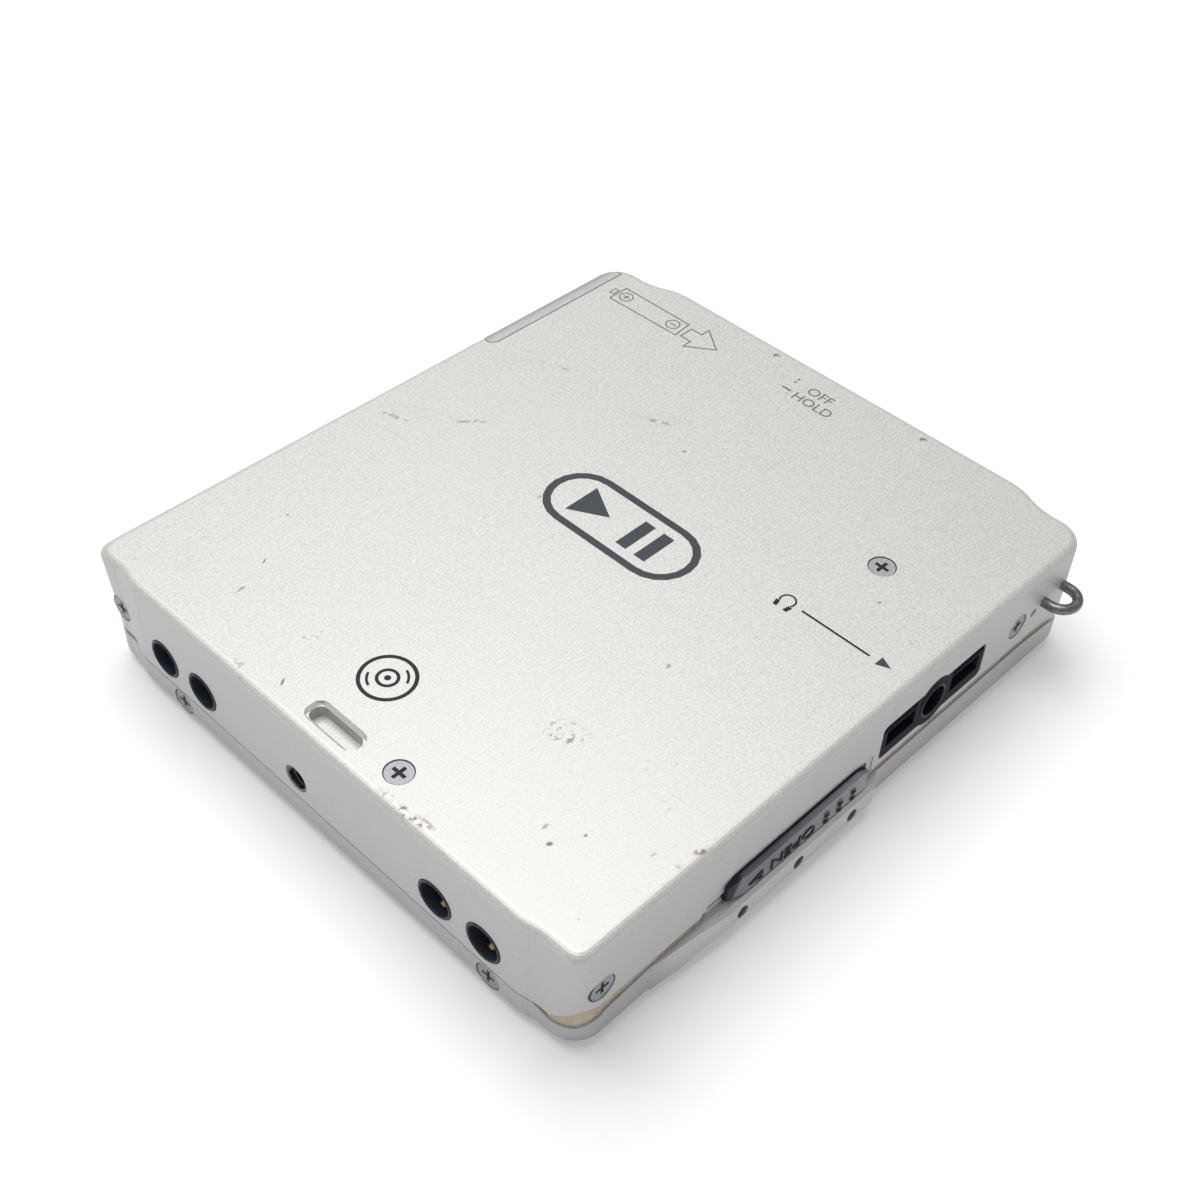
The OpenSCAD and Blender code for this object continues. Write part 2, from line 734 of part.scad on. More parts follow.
module base_cover() {
    pocket_seat = 0.4;
    color("silver")
        difference() {
            union() {
                base_walls();
                for (s = [-1, 1], k = [-1, 1]) {
                    x0 = s * hinge_x + (k > 0 ? lug_w / 2 + side_gap : -lug_w / 2 - side_gap - knuckle_w);
                    rod_x(x0, x0 + knuckle_w, hinge_y, hinge_z, hinge_r);
                }
                translate([pocket_x, pocket_y, body_h - pocket_depth - pocket_seat])
                    linear_extrude(height = pocket_depth) rounded(pocket_w + 1.4, pocket_l + 1.4, 0.6);
                translate([door_axis_x, door_axis_y, deck_top - 1.2])
                    cylinder(r = door_r, h = door_z - 0.2 - deck_top + 1.2);
            }
            for (s = [-1, 1]) {
                block([s * hinge_x - lug_w / 2 - side_gap, hinge_y - hinge_r - 1, back_z - 1],
                    [s * hinge_x + lug_w / 2 + side_gap, hd + 1, hinge_z + hinge_r + 0.1]);
                rod_x(s * hinge_x - lug_w / 2 - knuckle_w - 0.3, s * hinge_x + lug_w / 2 + knuckle_w + 0.3,
                    hinge_y, hinge_z, hinge_pin_r + 0.02);
            }
            door_space(side_gap);
            translate([door_axis_x, door_axis_y, deck_top - 0.9])
                cylinder(r = door_pin_r + 0.02, h = 4);
            along_y(-hd - 1, wall + 0.3 - hd) panel_outline(panel_gap);
            translate([0, 0, slider_z])
                along_y(-hd - 1, slider_recess - hd)
                    translate([stem_x - slider_travel / 2, 0])
                        rounded(slider_l + slider_travel + 2 * side_gap, slider_h + 2 * side_gap, 0.8);
            block([slider_x0 - slider_travel - side_gap, -hd - 1, front_z - 1],
                [slider_x1 + side_gap, slider_recess - hd, slider_z]);
            along_y(-hd - 1, hollow_depth - hd)
                translate([stem_x - slider_travel / 2, slider_z])
                    rounded(slider_l + slider_travel + 2 * hollow_w, slider_h + 2 * hollow_w, 1.4);
            block([slider_x0 - slider_travel - hollow_w, -hd - 1, front_z - 1],
                [slider_x1 + hollow_w, hollow_depth - hd, slider_z]);
            block([stem_x - stem_w / 2 - slider_travel - side_gap, -hd - 1, stem_z - stem_h / 2 - side_gap],
                [stem_x + stem_w / 2 + side_gap, wall + 0.5 - hd, stem_z + stem_h / 2 + side_gap]);
            for (y = cup_y)
                rod_x(-face_left - 1, wall + 0.2 - face_left, y, cup_z, cup_r + 0.02);
            rod_x(-face_left - 1, wall + 0.2 - face_left, insert_y, insert_z, insert_r + 0.02);
            top_screw_places() screw_seat(top_screw_l);
            side_screw_places() screw_seat(side_screw_l);
            translate([pocket_x, pocket_y, body_h - pocket_depth])
                linear_extrude(height = pocket_depth + 1) rounded(pocket_w, pocket_l, 0.8);
            pocket_mouth();
            for (s = [-1, 1])
                rod_y(-hd - 1, wall + 0.5 - hd, loop_x + s * loop_r, loop_z, loop_wire_r + 0.02);
            rod_y(-hd - 1, 0.6 - hd, loop_x - loop_r - 1.75, loop_z - 0.5, 0.55);
            translate([hw - corner_r, corner_r - hd, loop_z - 0.5]) rotate([90, 0, 14])
                translate([0, 0, corner_r - 0.6]) cylinder(r = 0.55, h = 2);
            for (y = [hd * 0.24, -hd * 0.375])
                translate([face_right - 1.85, y, body_h - 0.3]) cylinder(r = 0.45, h = 1);
            for (i = [0 : 3])
                key_place(i) linear_extrude(height = 10, center = true)
                    rounded(key_w + 2 * side_gap, key_h + 2 * side_gap, key_h / 2 + side_gap - eps);
            translate([face_right, hold_y - hold_travel / 2, key_z]) rotate([90, 0, 90])
                linear_extrude(height = 10, center = true)
                    rounded(hold_w + hold_travel + 2 * side_gap, hold_h + 2 * side_gap, 0.5);
        }
}

module hinge_pins() {
    color("dimgray")
        for (s = [-1, 1])
            rod_x(s * hinge_x - lug_w / 2 - knuckle_w, s * hinge_x + lug_w / 2 + knuckle_w,
                hinge_y, hinge_z, hinge_pin_r);
}

module bottom_screws() {
    color("gainsboro") top_screw_places() screw(top_screw_l);
}

module side_screws() {
    color("gainsboro") side_screw_places() screw(side_screw_l);
}

// Deck that carries the drive, with posts for the top screws and tabs for the side screws
post_r = 1.3;
tab_t = 0.6;
tab_w = 2.2;
tab_top = 1.2;
tab_gap = 0.3;
tab_side = 1.3;
deck_x0 = 2.9 - hw;
deck_x1 = hw - 2.2;
deck_y1 = hd - 2.2;
deck_y0 = 2.6 - hd;
module deck_tabs() {
    front_y = wall + tab_gap - hd;
    for (i = [0, 1]) {
        x0 = front_screw_x[i] - (i == 0 ? tab_w - tab_side - 0.2 : tab_side);
        block([x0, front_y, deck_z], [x0 + tab_w, front_y + tab_t, front_screw_z[i] + tab_top]);
        block([x0, front_y, deck_z], [x0 + tab_w, deck_y0 + eps, deck_top]);
    }
    left_x = wall + 0.2 - hw;
    tab_y0 = back_screw_y - tab_side;
    tab_y1 = back_screw_y + tab_side - 0.8;
    block([left_x, tab_y0, deck_z], [left_x + tab_t, tab_y1, back_screw_z + tab_top]);
    block([left_x, tab_y0, deck_z], [deck_x0 + eps, tab_y1, deck_top]);
}
module mechanism_deck() {
    color("darkgray")
        difference() {
            union() {
                block([deck_x0, deck_y0, deck_z], [deck_x1, deck_y1, deck_top]);
                block([deck_x1 - eps, inset_right - hd, deck_z],
                    [key_board_x1 + 0.1, hd - inset_right, deck_top]);
                deck_tabs();
                for (p = [post_left, post_right])
                    translate([p[0], p[1], deck_z]) cylinder(r = post_r, h = board_z - deck_z);
                for (p = [
                    [board_x0 + 2, board_hd - 2], [board_x0 + 2, 2 - board_hd], [board_x1 - 2, board_hd - 2],
                ])
                    translate([p[0], p[1], deck_top - eps]) cylinder(r = 1, h = board_z - deck_top + eps);
                for (s = [-1, 1], x = [rod_end_x - rod_block, pickup_x1 + 0.2])
                    block([x, s * rod_y - 1.3, deck_top - eps],
                        [x + rod_block, s * rod_y + 1.3, sled_z + 1.3]);
                for (x = [rod_end_x - rod_block, gear_x0 - 0.3 - rod_block])
                    block([x, lead_y - 1.6, deck_top - eps], [x + rod_block, lead_y + 1.6, sled_z + 1.6]);
            }
            translate([0, 0, deck_z - 1]) cylinder(r = 1.7, h = deck_t + 2);
            block([lens_x - pickup_travel - lens_r - 0.6, -lens_r - 0.6, deck_z - 1],
                [lens_x + lens_r + 0.6, lens_r + 0.6, deck_top + 0.2]);
            block([jack_x - jack_body_r - 0.4, -hd, deck_z - 1],
                [jack_x + jack_body_r + 0.4, jack_depth + 1.9 - hd, deck_top + 0.2]);
            block([jack_x - panel_half - 0.3, -hd, deck_z - 1],
                [jack_x + panel_half + 0.5, 3.4 - hd, deck_top + 0.2]);
            top_screw_places() translate([0, 0, -head_seat - top_screw_l - 0.3])
                cylinder(r = shank_r + 0.02, h = top_screw_l);
            side_screw_places() screw_seat(side_screw_l);
            block([deck_x0 - 1, insert_y - insert_r - 0.3, deck_z - 1],
                [deck_x0 + 1, insert_y + insert_r + 0.3, deck_top + 1]);
            for (s = [-1, 1])
                rod_x(rod_end_x - rod_block - 1, pickup_x1 + 0.2 + rod_block + 1,
                    s * rod_y, sled_z, rod_r + 0.02);
            rod_x(rod_end_x - rod_block - 1, gear_x0, lead_y, sled_z, lead_r + run_gap);
        }
}

module spindle_motor() {
    color("slategray")
        difference() {
            union() {
                translate([0, 0, deck_top]) cylinder(r = motor_r, h = 2.2);
                translate([0, 0, deck_top + 2.2 - eps]) cylinder(r = motor_r - 1.5, h = 1);
                translate([0, 0, deck_z + 0.1]) cylinder(r = 1.6, h = deck_t);
            }
            translate([0, 0, deck_z - 1]) cylinder(r = spindle_r + run_gap, h = deck_t + 3.8);
        }
}

tip_r = 2;
tip_z = cavity_z + 4.4;
module turntable() {
    color("whitesmoke")
        rotate_extrude()
            polygon([
                [0, tip_z], [tip_r - 0.4, tip_z], [tip_r, tip_z + 0.4], [tip_r, deck_z - 0.7],
                [turntable_r, deck_z - 0.7], [turntable_r, deck_z - 0.25], [spindle_r, deck_z - 0.25],
                [spindle_r, deck_top + 2], [0, deck_top + 2],
            ]);
}

module guide_rods() {
    color("gainsboro")
        for (s = [-1, 1])
            rod_x(rod_end_x - rod_block, pickup_x1 + 0.2 + rod_block, s * rod_y, sled_z, rod_r);
}

module optical_pickup() {
    half = rod_y + pickup_side;
    color("dimgray")
        difference() {
            union() {
                block([pickup_x0, -half, pickup_z0], [pickup_x1, half, pickup_z1]);
                block([lens_x - 1.8, lead_y - 1.7, pickup_z0], [lens_x + 1.8, eps - half, pickup_z1]);
            }
            for (s = [-1, 1])
                rod_x(pickup_x0 - 1, pickup_x1 + 1, s * rod_y, sled_z, rod_r + run_gap);
            rod_x(pickup_x0 - 1, pickup_x1 + 1, lead_y, sled_z, lead_r + run_gap);
            translate([lens_x, 0, pickup_z0 - 1]) cylinder(r = lens_r + 0.3, h = 2.4);
        }
}

module objective_lens() {
    color("lightcyan")
        translate([lens_x, 0, deck_z + 0.25])
            rotate_extrude()
                polygon([[0, -0.05], [lens_r * 0.6, 0], [lens_r, 0.3], [lens_r, 1.6], [0, 1.6]]);
}

module lead_screw() {
    color("silver") rod_x(rod_end_x - rod_block, gear_x0, lead_y, sled_z, lead_r);
}

// Straight-sided teeth on a round blank, drawn in the plane across the shaft
function tooth(r, m, a, pitch) = [
    polar(r - 1.2 * m, a - pitch * 0.36),
    polar(r + 0.9 * m, a - pitch * 0.12),
    polar(r + 0.9 * m, a + pitch * 0.12),
    polar(r - 1.2 * m, a + pitch * 0.36),
];
module gear_blank(teeth, m, start) {
    pitch = 360 / teeth;
    polygon([for (i = [0 : teeth - 1]) each tooth(m * teeth / 2, m, start + i * pitch, pitch)]);
}
module gear_on(y, teeth, start) {
    translate([gear_x0, y, sled_z]) rotate([90, 0, 90])
        linear_extrude(height = gear_w) gear_blank(teeth, gear_m, start);
}

module sled_gear() {
    color("ivory") gear_on(lead_y, gear_teeth, 180);
}

motor_face_x = gear_x0 + gear_w + 0.4;
motor_l = 10;
motor_round_r = 2.6;
pinion_shaft_r = 0.4;
pinion_shaft_l = 3;
module motor_pinion() {
    color("goldenrod")
        union() {
            gear_on(pinion_y, pinion_teeth, 180 / pinion_teeth);
            rod_x(gear_x0 + gear_w - eps, motor_face_x + pinion_shaft_l, pinion_y, sled_z, pinion_shaft_r);
        }
}

module sled_motor() {
    color("silver")
        difference() {
            intersection() {
                rod_x(motor_face_x, motor_face_x + motor_l, pinion_y, sled_z, motor_round_r);
                block([motor_face_x, pinion_y - motor_round_r - 1, deck_top],
                    [motor_face_x + motor_l, pinion_y + motor_round_r + 1, 2 * sled_z - deck_top]);
            }
            rod_x(motor_face_x - 1, motor_face_x + pinion_shaft_l + 0.2,
                pinion_y, sled_z, pinion_shaft_r + run_gap);
        }
}

module main_board() {
    color("darkgreen")
        difference() {
            block([board_x0, -board_hd, board_z], [board_x1, board_hd, board_z + board_t]);
            top_screw_places() translate([0, 0, -8]) cylinder(r = shank_r + 0.3, h = 10);
            block([board_x0 - 1, pocket_y - 4.6, board_z - 1], [pocket_x + 2.2, pocket_y + 4.6, body_h]);
        }
}

// Chips by shares of the board: place across and along it, then width and length
chip_t = 0.75;
module board_chips() {
    color("black")
        for (c = [
            [0.46, 0.68, 0.18, 0.15], [0.76, 0.32, 0.15, 0.12],
            [0.24, 0.23, 0.13, 0.13], [0.2, 0.83, 0.11, 0.08],
        ])
            translate([board_x0 + c[0] * board_w, (2 * c[1] - 1) * board_hd, board_z + board_t])
                cube([c[2] * board_w, 2 * c[3] * board_hd, chip_t]);
}

module jack_block() {
    slot_h = 2.2;
    slot_x0 = jack_x - panel_half + 0.9;
    slot_x1 = jack_x + panel_half - 0.7;
    color("#15171b")
        difference() {
            union() {
                along_y(0.05 - hd, 2.9 - hd)
                    intersection() {
                        panel_outline(0);
                        translate([jack_x - 2 * panel_half, deck_z - deck_t])
                            square([4 * panel_half, 4 * panel_h]);
                    }
                along_y(0.05 - hd, 1.3 - hd) panel_outline(0);
                rod_y(0.05 - hd, jack_depth + 1.2 - hd, jack_x, jack_z, jack_body_r);
            }
            rod_y(-hd - 1, jack_depth - hd, jack_x, jack_z, jack_bore_r);
            for (s = [-1, 1])
                along_x(jack_x + s * 1.5 * panel_half - (1.5 * panel_half - panel_ring_r),
                    jack_x + s * 1.5 * panel_half + (1.5 * panel_half - panel_ring_r))
                    polygon([
                        [-hd - 1, jack_z + slot_h / 2 + 0.2], [0.05 - hd, jack_z + slot_h / 2 + 0.2],
                        [0.75 - hd, panel_z + panel_h / 2], [0.75 - hd, panel_z + panel_h],
                        [-hd - 1, panel_z + panel_h],
                    ]);
            for (x = [[slot_x0, jack_x - 3.1], [jack_x + 3.1, slot_x1]])
                block([x[0], -hd - 1, jack_z - slot_h / 2], [x[1], 2 - hd, jack_z + slot_h / 2]);
        }
}

module jack_contacts() {
    color("gold")
        for (k = [-1, 0, 1])
            block([jack_x + 1.2 * k - 0.3, jack_depth + 1.2 - hd, jack_z - 1.2],
                [jack_x + 1.2 * k + 0.3, jack_depth + 2.6 - hd, jack_z - 0.8]);
}

loop_z = body_h - 5.4;
loop_out = 0.9;
module strap_loop() {
    bar_y = wall + 0.2 - hd;
    color("#4a4c50")
        union() {
            translate([loop_x, -hd - loop_out, loop_z]) rotate([0, 0, 180])
                rotate_extrude(angle = 180) translate([loop_r, 0]) circle(loop_wire_r);
            for (s = [-1, 1])
                rod_y(-hd - loop_out - eps, bar_y + 0.1, loop_x + s * loop_r, loop_z, loop_wire_r);
            block([loop_x - loop_r - 0.4, bar_y, loop_z - 0.6],
                [loop_x + loop_r + 0.3, bar_y + 0.4, loop_z + 0.6]);
        }
}

contact_r = 1.1;
cup_floor = 0.5;
module socket_cups() {
    color("#1b1d22")
        for (i = [0 : 3])
            difference() {
                rod_x(0.02 - face_left, cup_l - face_left, cup_y[i], cup_z, cup_r);
                rod_x(-face_left - 1, cup_l - cup_floor - face_left, cup_y[i], cup_z, cup_bore_r);
                if (i > 1)
                    rod_x(-face_left, cup_l + 1 - face_left, cup_y[i], cup_z, contact_r);
            }
}

module socket_contacts() {
    color("gold")
        for (y = [cup_y[2], cup_y[3]])
            rod_x(cup_l - cup_floor - face_left, cup_l - face_left, y, cup_z, contact_r);
}

module case_insert() {
    color("#3a3c40")
        difference() {
            rod_x(0.1 - face_left, cup_l - face_left, insert_y, insert_z, insert_r);
            rod_x(-face_left - 1, cup_l - cup_floor - face_left, insert_y, insert_z, insert_bore_r);
        }
}

module battery_cell() {
    color("seagreen")
        union() {
            along_y(cell_y0, cell_y1) translate([cell_x0 + cell_w / 2, cell_z + cell_t / 2])
                rounded(cell_w, cell_t, 2.4);
            along_y(cell_y1 - eps, cell_y1 + 0.25) translate([cell_x0 + cell_w / 2, cell_z + cell_t / 2])
                rounded(6, 2.4, 1);
        }
}

// Leaf that presses on the cell's inner end
module battery_contact() {
    y0 = wall + 0.02 - hd;
    color("gold")
        along_x(leaf_x0, leaf_x1)
            polygon([
                [y0, deck_top], [y0 + 0.3, deck_top], [y0 + 0.3, cell_z + 2], [cell_y0 - 0.1, cell_z + 3.5],
                [y0 + 0.5, cell_z + cell_t - 0.6], [y0 + 0.2, cell_z + cell_t - 0.6],
                [cell_y0 - 0.5, cell_z + 3.5], [y0, cell_z + 2.1],
            ]);
}

// Battery door, cut from the same walls as the base cover
module battery_door() {
    color("#a9a9ab")
        difference() {
            union() {
                intersection() {
                    union() {
                        round_the_case() base_section();
                        large_face(plate_z - 0.02, plate_t + 0.02, edge_r);
                    }
                    union() {
                        block([door_axis_x, hd - door_wall, door_z], [door_x1, hd + 1, body_h]);
                        block([door_axis_x, hd - door_strip, plate_z], [door_x1, hd + 1, body_h]);
                    }
                }
                intersection() {
                    translate([door_axis_x, door_axis_y, door_z]) cylinder(r = door_r, h = body_h - door_z);
                    along_x(door_axis_x - 3, door_axis_x + 3) door_end_section();
                }
            }
            translate([door_axis_x, door_axis_y, door_z - 1])
                cylinder(r = door_pin_r + run_gap, h = plate_z - door_z + 1);
        }
}
// Section of the case at the door's hinge end, with the rounded top edge
module door_end_section() {
    deep = 3 * door_r;
    translate([hd - deep, door_z]) square([deep, body_h - edge_r - door_z]);
    translate([hd - deep, body_h - edge_r - eps]) square([deep - edge_r, edge_r + eps]);
    translate([hd - edge_r, body_h - edge_r]) circle(edge_r);
}

module door_contact() {
    cx = cell_x0 + cell_w / 2;
    color("gold")
        block([cx - cell_w * 0.3, hd - wall - 0.35, cell_z + cell_t * 0.23],
            [cx + cell_w * 0.3, hd - wall - hair, cell_z + cell_t * 0.8]);
}

module door_pin() {
    color("gainsboro")
        translate([door_axis_x, door_axis_y, deck_top - 0.9])
            cylinder(r = door_pin_r, h = plate_z - 0.4 - deck_top + 0.9);
}

// Slider that opens the lid, with grip nubs, and the steel plate behind it
nub_r = 0.45;
module open_slider() {
    y0 = -hd - slider_proud;
    y1 = slider_recess - 0.05 - hd;
    color("#4b4f55")
        union() {
            intersection() {
                translate([0, 0, slider_z])
                    along_y(y0 - 1, y1)
                        polygon([
                            [slider_x0, -slider_h / 2], [slider_x0, slider_h * 0.1],
                            [slider_x0 + 1.9, slider_h / 2], [slider_x1 - 1.8, slider_h / 2],
                            [slider_x1, slider_h * 0.2], [slider_x1, -slider_h / 2],
                        ]);
                translate([0, 0, slider_z])
                    along_x(slider_x0 - 1, slider_x1 + 1)
                        polygon([
                            [y1 + 1, -slider_h], [y0, -slider_h], [y0, slider_h / 2 - slider_bevel],
                            [y0 + slider_bevel * 0.8, slider_h / 2], [y0 + slider_bevel, slider_h],
                            [y1 + 1, slider_h],
                        ]);
                translate([0, 0, cover_front_z - 1])
                    linear_extrude(height = slider_h + 3)
                        polygon([
                            [slider_x0 - 0.2, y1 + 1], [slider_x0 - 0.2, y0 + slider_proud],
                            [slider_x0 + 1.9, y0], [slider_x1 - 0.5, y0],
                            [slider_x1 + 0.3, y0 + slider_proud], [slider_x1 + 0.3, y1 + 1],
                        ]);
            }
            block([stem_x - stem_w / 2, y1 - eps, stem_z - stem_h / 2],
                [stem_x + stem_w / 2, wall + 0.1 - hd, stem_z + stem_h / 2]);
            for (i = [0 : 2], k = [-1, 1])
                translate([slider_x1 - 2.8 - 2.1 * i, y0 + 0.1, slider_z - 0.5 + 0.5 * k]) sphere(r = nub_r);
        }
}

module latch_plate() {
    y0 = wall + 0.1 - hd;
    color("gainsboro")
        union() {
            block([stem_x - 7, y0, stem_z - 1.2], [slider_x1 - 2, y0 + 0.3, stem_z + 1.2]);
            block([slider_x1 - 2 - eps, y0, front_z + 0.5], [catch_x0 - 0.5, y0 + 0.3, front_z + 1]);
            block([slider_x1 - 2.6, y0, front_z + 0.5], [slider_x1 - 1.6, y0 + 0.3, stem_z + 1.2]);
        }
}

// Bowed leaf that pushes the latch plate back
module latch_spring() {
    y0 = wall + 0.1 - hd;
    x1 = stem_x - 7;
    bow_r = 2;
    color("gold")
        translate([x1 - bow_r, 0, stem_z])
            along_y(y0, y0 + 0.3)
                difference() {
                    circle(bow_r);
                    circle(bow_r - 0.2);
                    translate([-4, -8]) square([8, 7.2]);
                }
}

// Keys on the swollen side
module key_place(i) {
    translate([face_right, key_y(i), key_z]) rotate([90, 0, 90]) children();
}
module side_key(i) {
    color("#8d8f93")
        key_place(i) {
            translate([0, 0, -wall - 0.4]) linear_extrude(height = wall + 0.4 + key_proud)
                rounded(key_w, key_h, key_h / 2 - eps);
            translate([0, 0, key_inner - face_right - key_flange]) linear_extrude(height = key_flange)
                rounded(key_w + 1, key_h + 1, 1);
        }
}
module key_play() { side_key(1); }
module key_stop() { side_key(0); }
module key_skip_back() { side_key(2); }
module key_skip_forward() { side_key(3); }

module hold_knob() {
    color("#70747a")
        translate([face_right, hold_y, key_z]) rotate([90, 0, 90]) {
            translate([0, 0, -wall - 0.4]) linear_extrude(height = wall + 0.4 + key_proud)
                rounded(hold_w, hold_h, 0.5);
            translate([0, 0, key_inner - face_right - key_flange]) linear_extrude(height = key_flange)
                rounded(hold_w + 1, hold_h + 1, 0.5);
        }
}

module key_board() {
    color("darkgreen")
        union() {
            block([key_board_x0, inset_right - hd, deck_top],
                [key_board_x1, hd - inset_right, cell_z + cell_t - 0.6]);
            for (i = [0 : 3])
                rod_x(key_board_x1 - eps, key_board_x1 + dome_h, key_y(i), key_z, 1.5);
        }
}

lid_cover();
lid_frame();
lid_catch();
lid_screws();
cartridge_holder();
holder_springs();
base_cover();
hinge_pins();
bottom_screws();
side_screws();
mechanism_deck();
main_board();
board_chips();
jack_block();
jack_contacts();
strap_loop();
socket_cups();
socket_contacts();
case_insert();
battery_cell();
battery_contact();
spindle_motor();
guide_rods();
sled_motor();
key_board();
latch_spring();
door_pin();
turntable();
optical_pickup();
objective_lens();
lead_screw();
sled_gear();
motor_pinion();
open_slider();
latch_plate();
battery_door();
door_contact();
hold_knob();
key_play();
key_stop();
key_skip_back();
key_skip_forward();
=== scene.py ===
# %% [markdown]
# This lesson dresses a pocket disc player that lies on its lid, underside up. The solids come from
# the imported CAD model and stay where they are. Blender adds the finishes, the printed marks and a few
# small details, and lights the player for a picture.

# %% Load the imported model
import json
import math

import bmesh
import bpy
from mathutils import Matrix, Vector


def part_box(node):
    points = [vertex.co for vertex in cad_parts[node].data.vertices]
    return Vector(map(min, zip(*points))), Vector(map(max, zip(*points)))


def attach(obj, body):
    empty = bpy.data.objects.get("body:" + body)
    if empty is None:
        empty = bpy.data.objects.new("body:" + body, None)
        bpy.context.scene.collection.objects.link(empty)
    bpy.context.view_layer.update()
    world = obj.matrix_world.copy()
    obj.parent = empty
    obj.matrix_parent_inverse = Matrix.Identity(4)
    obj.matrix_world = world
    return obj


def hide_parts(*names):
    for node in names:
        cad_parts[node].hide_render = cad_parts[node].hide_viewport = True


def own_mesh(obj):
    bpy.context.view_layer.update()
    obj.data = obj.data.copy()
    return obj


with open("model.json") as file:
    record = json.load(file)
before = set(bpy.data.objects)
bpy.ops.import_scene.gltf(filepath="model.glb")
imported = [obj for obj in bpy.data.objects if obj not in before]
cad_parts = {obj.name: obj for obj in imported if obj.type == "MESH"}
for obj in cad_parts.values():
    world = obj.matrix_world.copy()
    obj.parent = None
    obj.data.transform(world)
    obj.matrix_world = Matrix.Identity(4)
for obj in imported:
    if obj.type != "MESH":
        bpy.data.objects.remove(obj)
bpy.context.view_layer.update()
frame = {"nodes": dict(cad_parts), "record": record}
nodes = frame["nodes"]
MM = 0.001

# %% [markdown]
# The photograph looks down on the front left corner from about 44 degrees. A camera matrix has three
# directions and a place: right, up, and backwards out of the picture. They were worked out from the
# corners of the upper face, so the render can be laid over the photograph. A square frame on a 36 mm
# sensor makes the lens length easy to read.

# %% Camera at the photograph's angle
camera_data = bpy.data.cameras.new("photo_camera")
camera_data.sensor_fit = "HORIZONTAL"
camera_data.sensor_width = 36
camera_data.lens = 50.247
camera_data.clip_start = 0.01
camera = bpy.data.objects.new("photo_camera", camera_data)
right = (0.70034, -0.71293, 0.03547)
up = (0.48194, 0.50891, 0.71327)
back = (-0.52656, -0.48243, 0.70000)
camera_place = (-0.09745, -0.08944, 0.13607)
camera.matrix_world = Matrix.Translation(camera_place) @ Matrix((right, up, back)).transposed().to_4x4()
bpy.context.scene.collection.objects.link(camera)
bpy.context.scene.camera = camera
print("camera lens:", camera_data.lens)

# %% [markdown]
# Shaders are built from small nodes. A few of them come back in every finish, so each gets a helper,
# which takes a number or the output of another node.

# %% Helpers for shader nodes


def feed(tree, value, socket):
    """Sets a socket to a number, or links another node's output to it."""
    if isinstance(value, (int, float)):
        socket.default_value = value
    else:
        tree.links.new(value, socket)


def noise(tree, vector, scale, detail=2.0, rough=0.5):
    """A noise texture whose scale is a number or a socket."""
    node = tree.nodes.new("ShaderNodeTexNoise")
    tree.links.new(vector, node.inputs["Vector"])
    feed(tree, scale, node.inputs["Scale"])
    node.inputs["Detail"].default_value = detail
    node.inputs["Roughness"].default_value = rough
    return node.outputs["Fac"]


def spread(tree, value, low, high, to_low=0.0, to_high=1.0):
    """Stretches a range of a value to another range, clamped."""
    node = tree.nodes.new("ShaderNodeMapRange")
    tree.links.new(value, node.inputs["Value"])
    for label, number in (("From Min", low), ("From Max", high), ("To Min", to_low), ("To Max", to_high)):
        feed(tree, number, node.inputs[label])
    return node.outputs["Result"]


def math_node(tree, operation, a, b):
    """One Math node on sockets or numbers."""
    node = tree.nodes.new("ShaderNodeMath")
    node.operation = operation
    for socket, value in zip(node.inputs, (a, b)):
        feed(tree, value, socket)
    return node.outputs[0]


print("shader helpers ready")

# %% [markdown]
# The player was photographed on white under a wide soft light. The upper face is brightest at the left
# and front, and the left and front walls are grey, so the light hangs above the player and a little
# behind it, and the paint sends part of it on towards the camera. The world fills the shadows. Rays
# from the camera see plain white, so the background is white without putting more light on the paint.
# Away from the player the floor fades into that white, so no horizon shows from a low side.

# %% World, lamp and floor
scene = bpy.context.scene
scene.view_settings.view_transform = "Standard"
FLOOR_DROP = 0.05 * MM
FADE_FROM, FADE_TO, NEAR_GLOW = 0.09, 0.40, 0.21


def seen_value(tree, socket, unseen, seen):
    """Gives a socket one value for rays from the camera and through glass, and another for the rest."""
    path = tree.nodes.new("ShaderNodeLightPath").outputs
    either = math_node(tree, "MAXIMUM", path["Is Camera Ray"], path["Is Transmission Ray"])
    tree.links.new(spread(tree, either, 0.0, 1.0, unseen, seen), socket)


world = bpy.data.worlds.new("studio")
world.use_nodes = True
sky = world.node_tree.nodes["Background"]
sky.inputs["Color"].default_value = (0.97, 0.985, 1.0, 1)
seen_value(world.node_tree, sky.inputs["Strength"], 0.30, 1.1)
scene.world = world

lamp_data = bpy.data.lights.new("softbox", "AREA")
lamp_data.shape = "RECTANGLE"
lamp_data.size = 0.36
lamp_data.size_y = 0.36
lamp_data.energy = 1.42
lamp = bpy.data.objects.new("softbox", lamp_data)
lamp.location = (0.015, 0.10, 0.40)
lamp.rotation_euler = (Vector((0, 0, 0)) - lamp.location).to_track_quat("-Z", "Y").to_euler()
scene.collection.objects.link(lamp)

floor_mesh = bpy.data.meshes.new("floor")
floor_bm = bmesh.new()
bmesh.ops.create_grid(floor_bm, x_segments=1, y_segments=1, size=2.0)
floor_bm.to_mesh(floor_mesh)
floor_bm.free()
floor = bpy.data.objects.new("floor", floor_mesh)
floor.location = (0, 0, -FLOOR_DROP)
scene.collection.objects.link(floor)

